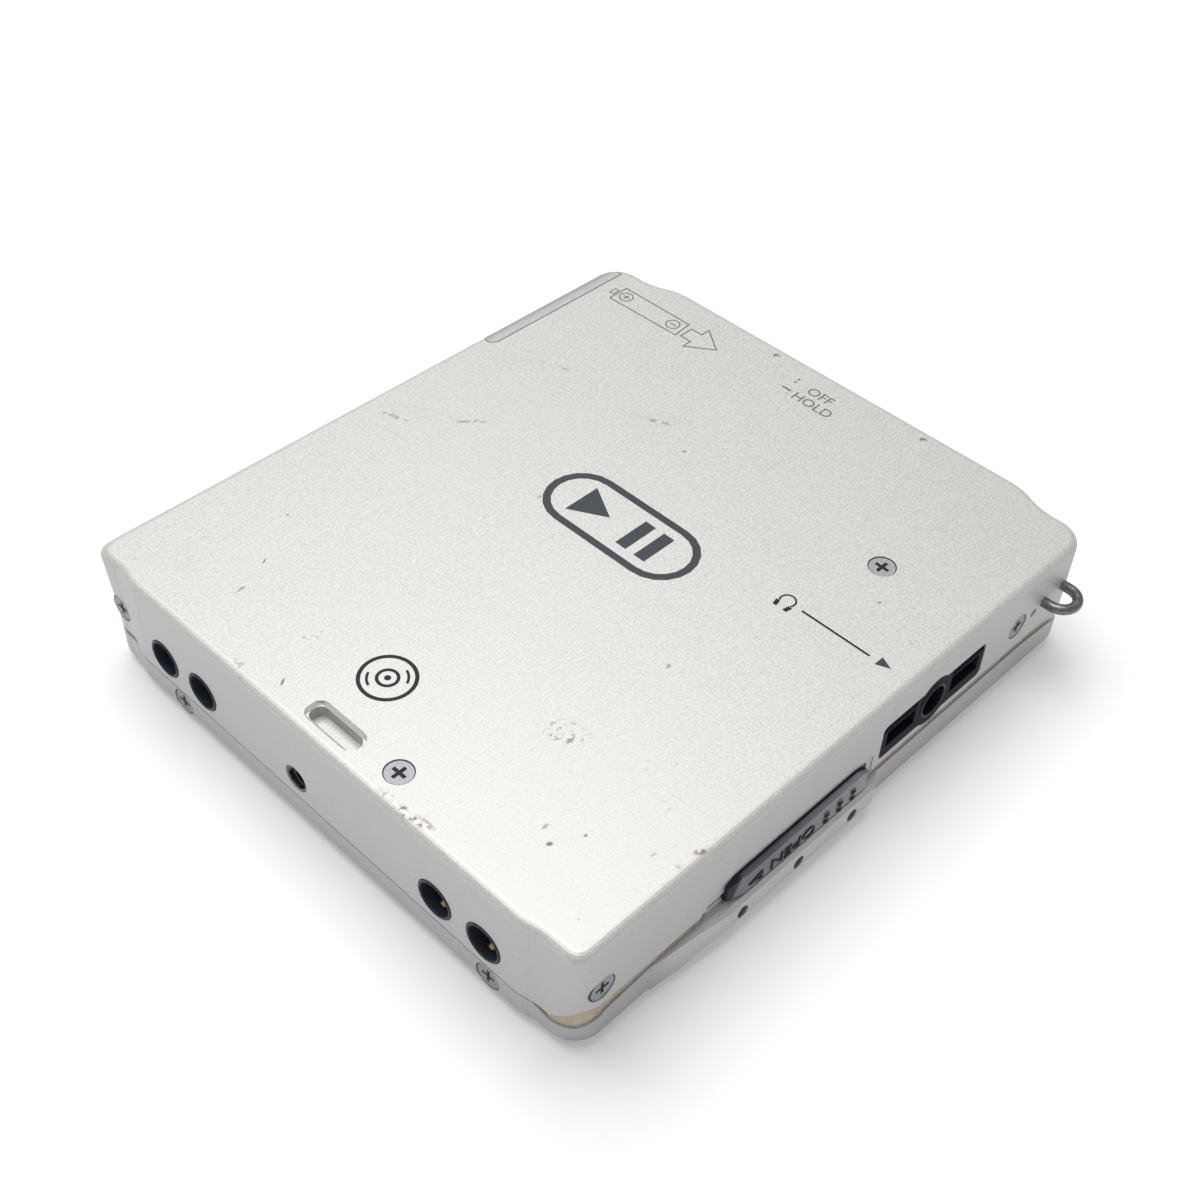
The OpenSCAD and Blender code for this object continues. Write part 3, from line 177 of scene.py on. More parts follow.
floor_mat = bpy.data.materials.new("floor_white")
floor_mat.use_nodes = True
floor_tree = floor_mat.node_tree
floor_shader = floor_tree.nodes["Principled BSDF"]
floor_shader.inputs["Base Color"].default_value = (0.93, 0.93, 0.93, 1)
floor_shader.inputs["Roughness"].default_value = 0.9
floor_shader.inputs["Specular IOR Level"].default_value = 0.1
floor_shader.inputs["Emission Color"].default_value = (1, 1, 1, 1)
far = floor_tree.nodes.new("ShaderNodeVectorMath")
far.operation = "LENGTH"
floor_tree.links.new(floor_tree.nodes.new("ShaderNodeTexCoord").outputs["Object"], far.inputs[0])
fade = spread(floor_tree, far.outputs["Value"], FADE_FROM, FADE_TO, NEAR_GLOW, 1.0)
seen_value(floor_tree, floor_shader.inputs["Emission Strength"], 0.0, fade)
floor_mesh.materials.append(floor_mat)
print("lamp energy:", lamp_data.energy)

# %% [markdown]
# Paint, plastic and metal share a few surface effects: a fine grain, thin scratches, patchy dirt and
# long marks in certain places. Each is a node group, built once and set to its own size in every finish.
# A group gives out only masks and heights, and the shader stays in the material.

# %% Node groups for shared surface effects


def new_group(name, inputs, outputs):
    """An empty shader node group with named sockets."""
    tree = bpy.data.node_groups.new(name, "ShaderNodeTree")
    for label, kind, value in inputs:
        socket = tree.interface.new_socket(label, in_out="INPUT", socket_type=kind)
        if value is not None:
            socket.default_value = value
    for label in outputs:
        tree.interface.new_socket(label, in_out="OUTPUT", socket_type="NodeSocketFloat")
    return tree, tree.nodes.new("NodeGroupInput"), tree.nodes.new("NodeGroupOutput")


FLOAT, VECTOR = "NodeSocketFloat", "NodeSocketVector"

grain, g_in, g_out = new_group(
    "fine_grain", [("Vector", VECTOR, None), ("Scale", FLOAT, 3000.0)], ["Mask", "Height"])
fleck = noise(grain, g_in.outputs["Vector"], g_in.outputs["Scale"], 3.0, 0.6)
grain.links.new(spread(grain, fleck, 0.36, 0.66), g_out.inputs["Mask"])
grain.links.new(fleck, g_out.inputs["Height"])

scratch, s_in, s_out = new_group(
    "thin_scratches", [("Vector", VECTOR, None), ("Scale", FLOAT, 120.0), ("Amount", FLOAT, 0.5)], ["Mask"])
turn = scratch.nodes.new("ShaderNodeMapping")
turn.inputs["Rotation"].default_value = (0.0, 0.0, 0.35)
turn.inputs["Scale"].default_value = (0.12, 2.6, 1.0)
scratch.links.new(s_in.outputs["Vector"], turn.inputs["Vector"])
lines = spread(scratch, noise(scratch, turn.outputs["Vector"], s_in.outputs["Scale"], 4.0, 0.7), 0.63, 0.72)
areas = spread(scratch, noise(scratch, s_in.outputs["Vector"], 60.0, 2.0), 0.50, 0.62)
both = math_node(scratch, "MULTIPLY", lines, areas)
scratch.links.new(math_node(scratch, "MULTIPLY", both, s_in.outputs["Amount"]), s_out.inputs["Mask"])

dirt, d_in, d_out = new_group(
    "patchy_dirt", [("Vector", VECTOR, None), ("Scale", FLOAT, 200.0), ("Cover", FLOAT, 0.4)], ["Mask"])
blotch = noise(dirt, d_in.outputs["Vector"], d_in.outputs["Scale"], 5.0, 0.65)
edge = math_node(dirt, "SUBTRACT", 0.78, math_node(dirt, "MULTIPLY", d_in.outputs["Cover"], 0.4))
rim = math_node(dirt, "ADD", edge, 0.10)
dirt.links.new(spread(dirt, blotch, edge, rim), d_out.inputs["Mask"])

mark, p_in, p_out = new_group(
    "long_mark", [("Vector", VECTOR, None), ("Centre", VECTOR, (0, 0, 0)), ("Turn", FLOAT, 0.0),
                  ("Length", FLOAT, 0.005), ("Width", FLOAT, 0.002)], ["Mask"])
from_centre = mark.nodes.new("ShaderNodeVectorMath")
from_centre.operation = "SUBTRACT"
mark.links.new(p_in.outputs["Vector"], from_centre.inputs[0])
mark.links.new(p_in.outputs["Centre"], from_centre.inputs[1])
turned = mark.nodes.new("ShaderNodeVectorRotate")
turned.rotation_type = "Z_AXIS"
mark.links.new(from_centre.outputs["Vector"], turned.inputs["Vector"])
mark.links.new(p_in.outputs["Turn"], turned.inputs["Angle"])
parts = mark.nodes.new("ShaderNodeSeparateXYZ")
mark.links.new(turned.outputs["Vector"], parts.inputs[0])
reach = []
for axis, size in (("X", "Length"), ("Y", "Width")):
    share = math_node(mark, "DIVIDE", parts.outputs[axis], p_in.outputs[size])
    reach.append(math_node(mark, "MULTIPLY", share, share))
mark.links.new(spread(mark, math_node(mark, "ADD", *reach), 1.0, 0.15), p_out.inputs["Mask"])
print("node groups:", [g.name for g in bpy.data.node_groups])

# %% [markdown]
# A finish starts from one helper: a Principled shader whose colour goes between two close shades by
# the grain, with a little of the grain in its roughness and bump. That alone keeps a surface from
# looking like flat plastic, and each real finish then adds its own wear on top.

# %% A base for every finish


class Finish:
    """A material with grain, on which further effects are laid."""

    def __init__(self, name, dark, light, metallic, rough, grain_mm, bump=0.05, shine=0.5):
        self.mat = bpy.data.materials.new(name)
        self.mat.use_nodes = True
        self.tree = self.mat.node_tree
        self.shader = self.tree.nodes["Principled BSDF"]
        self.coords = self.tree.nodes.new("ShaderNodeTexCoord").outputs["Object"]
        self.shader.inputs["Metallic"].default_value = metallic
        self.shader.inputs["Specular IOR Level"].default_value = shine
        flecks = self.group(grain, Scale=1.0 / (grain_mm * MM))
        self.colour = self.mix(flecks.outputs["Mask"], dark, light)
        self.rough = spread(self.tree, flecks.outputs["Mask"], 0.0, 1.0, rough[0], rough[1])
        relief = self.tree.nodes.new("ShaderNodeBump")
        relief.inputs["Strength"].default_value = bump
        relief.inputs["Distance"].default_value = 0.05 * MM
        self.tree.links.new(flecks.outputs["Height"], relief.inputs["Height"])
        self.tree.links.new(relief.outputs["Normal"], self.shader.inputs["Normal"])

    def group(self, tree, **values):
        """Adds one of the node groups, set on this piece's own coordinates."""
        node = self.tree.nodes.new("ShaderNodeGroup")
        node.node_tree = tree
        self.tree.links.new(self.coords, node.inputs["Vector"])
        for label, value in values.items():
            node.inputs[label].default_value = value
        return node

    def mix(self, mask, a, b):
        """A colour between two others, by a mask."""
        node = self.tree.nodes.new("ShaderNodeMix")
        node.data_type = "RGBA"
        self.tree.links.new(mask, node.inputs["Factor"])
        for label, value in (("A", a), ("B", b)):
            socket = [s for s in node.inputs if s.name == label and s.type == "RGBA"][0]
            if isinstance(value, tuple):
                socket.default_value = (*value, 1)
            else:
                self.tree.links.new(value, socket)
        return [s for s in node.outputs if s.type == "RGBA"][0]

    def lay(self, mask, colour, rough=None):
        """Lays another colour over the finish where the mask is white."""
        self.colour = self.mix(mask, self.colour, colour)
        if rough is not None:
            self.rough = math_node(self.tree, "ADD", self.rough, self.times(mask, rough))

    def times(self, a, b):
        """The product of two masks, or of a mask and a number."""
        return math_node(self.tree, "MULTIPLY", a, b)

    def part(self, vector, axis):
        """One of the three parts of a vector."""
        split = self.tree.nodes.new("ShaderNodeSeparateXYZ")
        self.tree.links.new(vector, split.inputs[0])
        return split.outputs[axis]

    def along(self, axis, low, high):
        """A mask that grows from one place to another, in millimetres, along an axis of the piece."""
        return spread(self.tree, self.part(self.coords, axis), low * MM, high * MM)

    def facing(self, axis, low, high):
        """A mask from the way that the surface faces on the piece itself, so it turns with the piece."""
        normal = self.tree.nodes.new("ShaderNodeTexCoord").outputs["Normal"]
        return spread(self.tree, self.part(normal, axis), low, high)

    def done(self):
        """Links the colour and the roughness to the shader, and hands over the material."""
        self.tree.links.new(self.colour, self.shader.inputs["Base Color"])
        self.tree.links.new(self.rough, self.shader.inputs["Roughness"])
        return self.mat


print("finish helper ready")

# %% [markdown]
# The big shell is sprayed with silver paint. The flakes in it make a fine warm speckle, the rounded
# edge is rubbed bright, and years of use left brown specks and short reddish scratches. Each mark sits
# where the photograph shows it, with its place, half length and half width in millimetres, its turn in
# degrees, how much of it is covered and how strong it is. The walls of the shell and of its pocket get
# painted shade, the front of the lid's finger lip a band of painted light, and the back edge of the
# battery door a band of painted shade.

# %% Silver paint of the shell, lid and battery door
BROWN, RED, SOOT = (0.30, 0.19, 0.10), (0.36, 0.22, 0.19), (0.10, 0.09, 0.09)
PINK = (0.62, 0.52, 0.48)
MARKS = [
    (BROWN, (-22.0, -16.6), 3.0, 1.9, -60, 0.62, 0.80), (BROWN, (-39.1, -12.6), 3.4, 0.7, 90, 0.66, 0.85),
    (BROWN, (-38.8, -15.6), 1.8, 0.6, 90, 0.75, 0.80), (BROWN, (-39.3, -26.0), 4.5, 0.5, 90, 0.40, 0.55),
    (BROWN, (-38.8, 11.6), 1.9, 0.5, 80, 0.62, 0.80), (BROWN, (-32.2, -25.0), 0.42, 0.30, -30, 1.9, 0.90),
    (RED, (-31.1, -23.3), 0.5, 0.3, 0, 1.0, 0.6), (SOOT, (-29.2, -26.6), 0.25, 0.2, 0, 1.9, 0.7),
    (RED, (-26.1, -33.4), 2.2, 0.45, -75, 0.62, 0.75), (BROWN, (-23.1, -35.0), 0.8, 0.4, -30, 0.95, 0.85),
    (BROWN, (-8.4, -17.5), 0.45, 0.25, 20, 1.9, 0.65), (BROWN, (14.1, -26.5), 0.35, 0.25, 0, 1.9, 0.6),
    (SOOT, (-37.2, 7.0), 0.6, 0.16, 35, 1.9, 0.85), (SOOT, (-28.0, 21.9), 0.55, 0.14, 30, 1.9, 0.7),
    (RED, (-32.4, 20.2), 0.9, 0.25, 0, 0.9, 0.75), (RED, (-31.1, 9.5), 3.2, 0.35, -48, 0.55, 0.65),
    (RED, (-35.2, 30.2), 2.2, 1.6, 0, 0.30, 0.45), (SOOT, (-21.8, 26.0), 0.22, 0.16, 0, 1.9, 0.6),
    (RED, (-2.4, 31.5), 2.6, 0.45, -76, 0.66, 0.80), (RED, (3.5, 24.4), 2.4, 0.32, -43, 0.80, 0.85),
    (RED, (18.4, 24.8), 3.0, 0.40, -68, 0.62, 0.75), (RED, (19.1, 10.0), 2.2, 0.40, -65, 0.78, 0.80),
    (SOOT, (17.4, 4.0), 0.4, 0.2, -40, 1.2, 0.6), (RED, (0.0, 9.7), 1.4, 0.5, -70, 0.60, 0.70),
    (RED, (25.2, 1.4), 4.0, 0.5, -45, 0.52, 0.65), (PINK, (16.0, 28.0), 6.0, 1.6, -55, 0.85, 0.24),
    (PINK, (20.3, 9.0), 6.0, 1.8, -62, 0.85, 0.24), (PINK, (22.5, -3.5), 4.5, 1.4, -70, 0.80, 0.24),
    (PINK, (0.5, 29.5), 5.0, 1.6, -60, 0.80, 0.24), (PINK, (-34.0, 27.0), 3.5, 2.2, -80, 0.75, 0.18),
]
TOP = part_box("base_cover")[1].z
POCKET = (-37.05 * MM, -0.9 * MM)
POCKET_REACH = (2.3 * MM, 5.2 * MM)
# Painted shade: the walls of the shell get a flatter grey of their own. The rubbed edge is real wear.
WALL_SHADE, RUBBED = (0.72, 0.715, 0.725), (0.90, 0.89, 0.86)
# Painted shade: the walls of the pocket get a darker colour. The specks are real.
SPECK, POCKET_SHADE = (0.22, 0.20, 0.18), (0.36, 0.355, 0.32)


def shade(colour, share):
    """A darker shade of a colour."""
    return tuple(c * share for c in colour)


def lay_wear_and_pocket_shade(paint):
    """The marks and specks of the upper face, and painted shade on the walls of its pocket."""
    for colour, (x, y), half_long, half_wide, turn, cover, strong in MARKS:
        place = paint.group(
            mark, Centre=(x * MM, y * MM, TOP), Turn=-math.radians(turn),
            Length=half_long * MM, Width=half_wide * MM)
        patch = paint.group(dirt, Scale=1500.0, Cover=cover)
        mask = paint.times(place.outputs["Mask"], patch.outputs["Mask"])
        paint.lay(paint.times(mask, strong), colour, 0.15)
    specks = paint.group(dirt, Scale=1900.0, Cover=0.36)
    paint.lay(paint.times(specks.outputs["Mask"], 0.45), SPECK)
    pocket = paint.group(
        mark, Centre=(*POCKET, TOP), Turn=0.0, Length=POCKET_REACH[0], Width=POCKET_REACH[1])
    # Painted shade on the walls of the pocket, strongest where they face sideways.
    inner = paint.times(pocket.outputs["Mask"], paint.facing("Z", 0.70, 0.30))
    paint.lay(paint.times(inner, 0.65), POCKET_SHADE)


def silver(name, dark, light, worn, scuffed_with_wall_shade, across=None, metallic=0.38):
    """Silver paint with a faint haze, a rubbed edge and fine scratches; the shell also gets painted shade
    on its walls, and a band across it gets its own painted colour where one is given.
    """
    paint = Finish(name, dark, light, metallic, (0.42, 0.56), 0.24, 0.05)
    haze = spread(paint.tree, noise(paint.tree, paint.coords, 38.0, 3.0), 0.35, 0.70, 0.0, 0.22)
    paint.lay(haze, shade(light, 0.93))
    # Painted shade: on the shell, surfaces that face away from the upper face get that grey.
    if scuffed_with_wall_shade:
        paint.lay(paint.times(paint.facing("Z", 0.45, 0.10), 0.75), WALL_SHADE)
    rubbed = paint.times(paint.facing("Z", 0.15, 0.55), paint.facing("Z", 0.995, 0.80))
    paint.lay(paint.times(rubbed, worn), RUBBED, -0.06)
    lines = paint.group(scratch, Scale=420.0, Amount=0.35 if scuffed_with_wall_shade else 0.2)
    paint.lay(lines.outputs["Mask"], shade(light, 0.72), 0.1)
    if scuffed_with_wall_shade:
        lay_wear_and_pocket_shade(paint)
    # A band across, in millimetres along y, gets a colour of its own: painted light on the lid's finger
    # lip, painted shade on the door's back edge.
    if across:
        start, end, colour = across
        paint.lay(paint.along("Y", start, end), colour)
    return paint.done()


FINISHES = {
    "shell_paint": silver("silver_shell_paint", (0.63, 0.63, 0.60), (0.83, 0.83, 0.795), 0.4, True),
    # Painted light: the front of the finger lip is made lighter.
    "lid_paint": silver(
        "silver_lid_paint", (0.60, 0.605, 0.62), (0.67, 0.675, 0.69), 0.2, False,
        (-35.98, -36.3, (0.78, 0.785, 0.80)), 0.75),
    # Painted shade: the strip and back edge of the door are made dark grey.
    "door_paint": silver(
        "silver_door_paint", (0.56, 0.56, 0.56), (0.68, 0.68, 0.68), 0.1, False,
        (34.4, 36.6, (0.24, 0.24, 0.25))),
}
print("paints:", list(FINISHES))

# %% [markdown]
# Bare metal shows in small places: the polished tan rim of the lid, steel screws, the dark wire of
# the strap loop, sheet metal inside and gold plated contacts. Each is a metallic shader whose grain
# stands for rolling or plating marks, with a few scratches where hands reach.

# %% Metals


def metal(name, dark, light, rough, grain_mm, scratched=0.0, metallic=1.0):
    """Metal, with scratches where hands reach it."""
    finish = Finish(name, dark, light, metallic, rough, grain_mm, 0.08)
    if scratched:
        lines = finish.group(scratch, Scale=700.0, Amount=scratched)
        finish.lay(lines.outputs["Mask"], shade(light, 0.5), 0.2)
    return finish.done()


METALS = {
    "frame_tan": ("polished_tan_rim", (0.62, 0.53, 0.41), (0.70, 0.61, 0.49), (0.24, 0.30), 2.5, 0.0, 0.5),
    "steel": ("bright_steel", (0.38, 0.39, 0.41), (0.52, 0.53, 0.55), (0.48, 0.60), 0.25, 0.6, 0.5),
    "dark_wire": ("dark_wire", (0.20, 0.205, 0.215), (0.32, 0.325, 0.335), (0.28, 0.42), 0.4, 0.3, 0.9),
    "deck_metal": ("sheet_metal", (0.48, 0.49, 0.51), (0.60, 0.61, 0.63), (0.30, 0.45), 0.6),
    "insert_metal": ("dark_threaded_metal", (0.16, 0.165, 0.175), (0.26, 0.265, 0.28), (0.28, 0.42), 0.3),
    "gold": ("gold_plate", (0.66, 0.47, 0.18), (0.80, 0.62, 0.28), (0.20, 0.32), 0.4),
}
for slot_name, row in METALS.items():
    FINISHES[slot_name] = metal(*row)
print("metals:", len(METALS))

# %% [markdown]
# Much of the rest is plastic: moulded pieces, and the wrap of the cell. Moulded plastic is never mirror
# smooth, so it keeps a fine grain and a dull shine.

# %% Plastics


def plastic(name, dark, light, rough, grain_mm=0.3, shine=0.3):
    """Moulded plastic, on which more can be laid before it is done."""
    return Finish(name, dark, light, 0.0, rough, grain_mm, 0.08, shine)


PLASTICS = {
    "black_plastic": (
        "blue_black_plastic", (0.013, 0.016, 0.024), (0.022, 0.026, 0.038), (0.36, 0.50), 0.3, 0.05),
    "lip_black": (
        "rubbed_black_lips", (0.036, 0.040, 0.048), (0.060, 0.065, 0.076), (0.30, 0.42), 0.3, 0.3),
    "key_grey": ("grey_keys", (0.30, 0.31, 0.32), (0.37, 0.38, 0.39), (0.36, 0.50)),
    "chip_black": ("chip_bodies", (0.014, 0.014, 0.015), (0.030, 0.030, 0.032), (0.50, 0.65)),
    "white_plastic": ("slippery_white", (0.74, 0.74, 0.71), (0.82, 0.82, 0.79), (0.30, 0.42)),
    "dark_plastic": ("dark_moulding", (0.045, 0.048, 0.052), (0.075, 0.080, 0.085), (0.42, 0.56)),
    "cell_wrap": ("plain_cell_wrap", (0.06, 0.21, 0.13), (0.09, 0.27, 0.17), (0.22, 0.30), 0.8),
}
for slot_name, row in PLASTICS.items():
    FINISHES[slot_name] = plastic(*row).done()
print("plastics:", len(PLASTICS))

# %% [markdown]
# The slider's slate plastic gets painted light and shade. It is painted paler towards its right end, and
# its upper bevel is darker than its front, as painted shade. The left end and the line where the bevel
# meets the wall are painted nearly black, as shade. The grip nubs stand out from the front: they are
# black, with painted highlights on their tops. So the colour follows the place on the slider, in
# millimetres, and the way that the surface faces.

# %% Slate of the slider
PALE_FROM = -14.0
LINE_FROM, LINE_AT = -36.16, -36.04
NUB_FROM, NUB_AT = -36.62, -36.70
END_LEAN, END_FROM, END_AT = 0.3, 0.75, 0.45
slider_low, slider_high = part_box("open_slider")
slate = plastic("slate_slider", (0.235, 0.247, 0.260), (0.300, 0.312, 0.325), (0.38, 0.52), 0.22)
# Painted light: the slider is made paler towards its right end.
painted_light_right = slate.along("X", PALE_FROM, slider_high.x / MM)
slate.lay(painted_light_right, (0.44, 0.455, 0.47))
# Painted shade on the upward-facing bevel, made lighter towards the right end as painted light.
upper = slate.facing("Z", 0.25, 0.55)
slate.lay(upper, (0.135, 0.143, 0.160))
slate.lay(slate.times(upper, painted_light_right), (0.33, 0.34, 0.36))
# Painted shade: the line where the bevel meets the wall is nearly black.
slate.lay(slate.times(upper, slate.along("Y", LINE_FROM, LINE_AT)), (0.022, 0.024, 0.030))
# Painted shade: the left end, leaning with height, is nearly black.
lean = slate.times(slate.part(slate.coords, "Z"), END_LEAN)
from_left = math_node(slate.tree, "SUBTRACT", slate.part(slate.coords, "X"), lean)
left = slider_low.x - END_LEAN * slider_low.z
left_end_shade = spread(slate.tree, from_left, left + END_FROM * MM, left + END_AT * MM)
slate.lay(left_end_shade, (0.030, 0.034, 0.046))
nubs = slate.along("Y", NUB_FROM, NUB_AT)
slate.lay(nubs, (0.020, 0.022, 0.026), -0.12)
# Painted highlight on the tops of the black nubs.
slate.lay(slate.times(nubs, slate.facing("Z", 0.62, 0.85)), (0.30, 0.31, 0.32))
FINISHES["slider_slate"] = slate.done()
print("slider length in mm:", round((slider_high.x - slider_low.x) / MM, 2))

# %% [markdown]
# The boards are green with paler tracks, which a brick pattern stands for, and the small lens is coated
# glass. Then each node takes the finish of its material slot. The strip beside the slider and the blue
# grey cups of the sockets have finishes of their own; the strip's pale colour is a painted highlight.

# %% Board, lens and the finish of each node
board = plastic("green_board", (0.020, 0.105, 0.050), (0.030, 0.140, 0.070), (0.34, 0.46), 0.5)
tracks = board.tree.nodes.new("ShaderNodeTexBrick")
board.tree.links.new(board.coords, tracks.inputs["Vector"])
tracks.inputs["Scale"].default_value = 260.0
tracks.inputs["Mortar Size"].default_value = 0.03
board.lay(tracks.outputs["Fac"], (0.05, 0.20, 0.10), -0.05)
FINISHES["board_green"] = board.done()
lens = Finish("coated_lens", (0.70, 0.80, 0.92), (0.76, 0.86, 0.95), 0.0, (0.03, 0.06), 1.5, 0.0)
lens.shader.inputs["Transmission Weight"].default_value = 1.0
lens.shader.inputs["IOR"].default_value = 1.5
FINISHES["lens_glass"] = lens.done()

for row in frame["record"]["subparts"]:
    for slot in nodes[row["node"]].material_slots:
        slot.material = FINISHES[row["material_slot"]]
# Painted highlight: the strip beside the slider gets a pale metal, brighter than its steel.
strip_painted_highlight = metal("strip_painted_highlight", (0.84, 0.82, 0.77), (0.93, 0.91, 0.87), (0.30, 0.40), 0.25, 0.3, 0.3)
cups = plastic("blue_grey_cups", (0.032, 0.039, 0.056), (0.050, 0.059, 0.080), (0.36, 0.50), 0.3, 0.2)
for node, mat in (("lid_catch", strip_painted_highlight), ("socket_cups", cups.done())):
    for slot in nodes[node].material_slots:
        slot.material = mat

# %% [markdown]
# The marks on the upper face are printed, so each is a film of ink two hundredths of a millimetre
# thick; the signs pressed into the paint get the same film in grey, as painted shade. They are drawn
# flat in millimetres, as on paper, with x to the right and y up. A film gets its thickness with the
# solidify operator, and one matrix then lays the sheet on the face, where right is towards the front of
# the player and up is towards the keys.

# %% Helpers for printed marks
INK = 0.02


def ink_outline(bm, points, width):
    """A closed line along a few points: a face is made, and its inset border is kept."""
    face = bm.faces.new([bm.verts.new((x, y, 0)) for x, y in points])
    bm.normal_update()
    bmesh.ops.inset_region(bm, faces=[face], thickness=width, use_boundary=True, use_even_offset=True)
    bmesh.ops.delete(bm, geom=[face], context="FACES")


def ink_fill(bm, points):
    """A filled outline."""
    bm.faces.new([bm.verts.new((x, y, 0)) for x, y in points])


def ink_bar(bm, low, high):
    """A filled rectangle between two corners."""
    ink_fill(bm, [low, (high[0], low[1]), high, (low[0], high[1])])


def ink_ring(bm, centre, radius, width, segments=40):
    """A ring between two circles, joined by bridging them."""
    place = Matrix.Translation((*centre, 0))
    edges = []
    for r in (radius, radius - width):
        made = bmesh.ops.create_circle(bm, segments=segments, radius=r, matrix=place)
        edges += list({e for v in made["verts"] for e in v.link_edges})
    bmesh.ops.bridge_loops(bm, edges=edges)


def ink_disc(bm, centre, radius, segments=24):
    """A filled circle."""
    place = Matrix.Translation((*centre, 0))
    bmesh.ops.create_circle(bm, cap_ends=True, segments=segments, radius=radius, matrix=place)


def ink_arc(bm, centre, radius, width, start, sweep, steps=24):
    """Part of a ring: a short line spun about the centre."""
    middle = Vector((*centre, 0))
    way = Vector((math.cos(start), math.sin(start), 0))
    ends = [bm.verts.new(middle + way * r) for r in (radius, radius - width)]
    line = bm.edges.new(ends)
    bmesh.ops.spin(
        bm, geom=[line, *ends], cent=middle, axis=(0, 0, 1), angle=sweep, steps=steps, use_duplicate=False)


def ink_text(bm, words, size, start):
    """Lettering from a text object, made a mesh before it gets its place."""
    curve = bpy.data.curves.new("lettering", "FONT")
    curve.body = words
    curve.size = size
    curve.resolution_u = 4
    text = bpy.data.objects.new("lettering", curve)
    scene.collection.objects.link(text)
    bpy.context.view_layer.update()
    mesh = bpy.data.meshes.new_from_object(text.evaluated_get(bpy.context.evaluated_depsgraph_get()))
    mesh.transform(Matrix.Translation((*start, 0)))
    bm.from_mesh(mesh)
    bpy.data.meshes.remove(mesh)
    bpy.data.objects.remove(text)
    bpy.data.curves.remove(curve)


def add_piece(name, bm, mat, body, smooth=False):
    """Turns a finished bmesh into a piece that rides on a body."""
    bmesh.ops.recalc_face_normals(bm, faces=bm.faces)
    for face in bm.faces:
        face.smooth = smooth
    mesh = bpy.data.meshes.new(name)
    bm.to_mesh(mesh)
    bm.free()
    mesh.materials.append(mat)
    piece = bpy.data.objects.new(name, mesh)
    scene.collection.objects.link(piece)
    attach(piece, body)
    print(name, "faces:", len(mesh.polygons))
    return piece


def film(bm, thick=INK):
    """Gives the flat drawing its thickness, from the sheet upwards."""
    bmesh.ops.remove_doubles(bm, verts=bm.verts, dist=1e-5)
    bmesh.ops.recalc_face_normals(bm, faces=bm.faces)
    for face in bm.faces:
        if face.normal.z < 0:
            face.normal_flip()
    bmesh.ops.solidify(bm, geom=bm.faces, thickness=thick)
    low = min(v.co.z for v in bm.verts)
    bmesh.ops.translate(bm, verts=bm.verts, vec=(0, 0, -low))


def lay_on(bm, x_way, y_way, origin):
    """Lays a drawing in millimetres on a face of the player."""
    x_way, y_way = Vector(x_way), Vector(y_way)
    turn = Matrix((x_way, y_way, x_way.cross(y_way))).transposed().to_4x4()
    place = Matrix.Translation(Vector(origin) * MM)
    bmesh.ops.transform(bm, verts=bm.verts, matrix=place @ turn @ Matrix.Scale(MM, 4))


def print_on_face(name, bm, ink):
    """Makes a drawing a film on the upper face: printed ink, or the painted shade of a pressed sign."""
    film(bm)
    lay_on(bm, (0, -1, 0), (1, 0, 0), (0, 0, TOP / MM))
    return add_piece(name, bm, ink, "base")


print("ink thickness in mm:", INK)

# %% [markdown]
# Four shades are used: black ink for the socket's sign and the disc, which is also painted shade in the
# screw heads, slate ink for the emblem and the pointer, and two greys that are painted shade for the
# signs pressed into the paint by the cell and the hold switch. Each is a plain dull film, slightly uneven.

# %% Inks, and painted shade for the pressed signs
INK_ROUGH, INK_GRAIN = (0.45, 0.60), 0.15
black_ink_and_shade = plastic("black_ink_and_shade", (0.010, 0.010, 0.011), (0.022, 0.022, 0.024), INK_ROUGH, INK_GRAIN).done()
slate_ink = plastic("slate_ink", (0.050, 0.055, 0.064), (0.075, 0.082, 0.094), INK_ROUGH, INK_GRAIN).done()
# Painted shade: the two greys stand for the shade in signs pressed into the paint.
pressed_sign_shade = plastic("pressed_sign_painted_shade", (0.14, 0.14, 0.138), (0.22, 0.22, 0.215), INK_ROUGH, INK_GRAIN).done()
switch_sign_shade = plastic("switch_sign_painted_shade", (0.15, 0.165, 0.17), (0.22, 0.235, 0.24), INK_ROUGH, INK_GRAIN).done()
print("inks:", [ink.name for ink in (black_ink_and_shade, slate_ink, pressed_sign_shade, switch_sign_shade)])

# %% [markdown]
# Over the cell, a drawing shows which way round it goes in: a long cell with its small end cap, a plus
# and a minus in rings, and an arrow. All of it is thin outlines and short bars, pressed into the paint,
# so its grey film is painted shade.

# %% Cell sign
cell = bmesh.new()
ink_outline(cell, [(-31.1, 36.2), (-31.1, 33.0), (-19.9, 33.2), (-20.2, 36.2)], 0.16)
ink_outline(cell, [(-32.0, 35.1), (-32.0, 33.9), (-31.25, 33.9), (-31.25, 35.1)], 0.14)
ink_outline(cell, [
    (-19.5, 35.75), (-19.5, 33.55), (-17.85, 33.55), (-17.85, 32.1), (-14.3, 34.65), (-17.85, 37.2),
    (-17.85, 35.75)], 0.16)
for x, arms in ((-29.7, 2), (-21.7, 1)):
    ink_ring(cell, (x, 34.7), 0.95, 0.15)
    ink_bar(cell, (x - 0.45, 34.62), (x + 0.45, 34.78))
    if arms == 2:
        ink_bar(cell, (x - 0.08, 34.25), (x + 0.08, 34.6))
        ink_bar(cell, (x - 0.08, 34.8), (x + 0.08, 35.15))
print_on_face("cell_sign", cell, pressed_sign_shade)

# %% [markdown]
# The hold switch is on the side, and its two positions are named on the face beside it. Two dots mark
# one position and a short bar the other. They are pressed into the paint, so their grey film is painted
# shade.

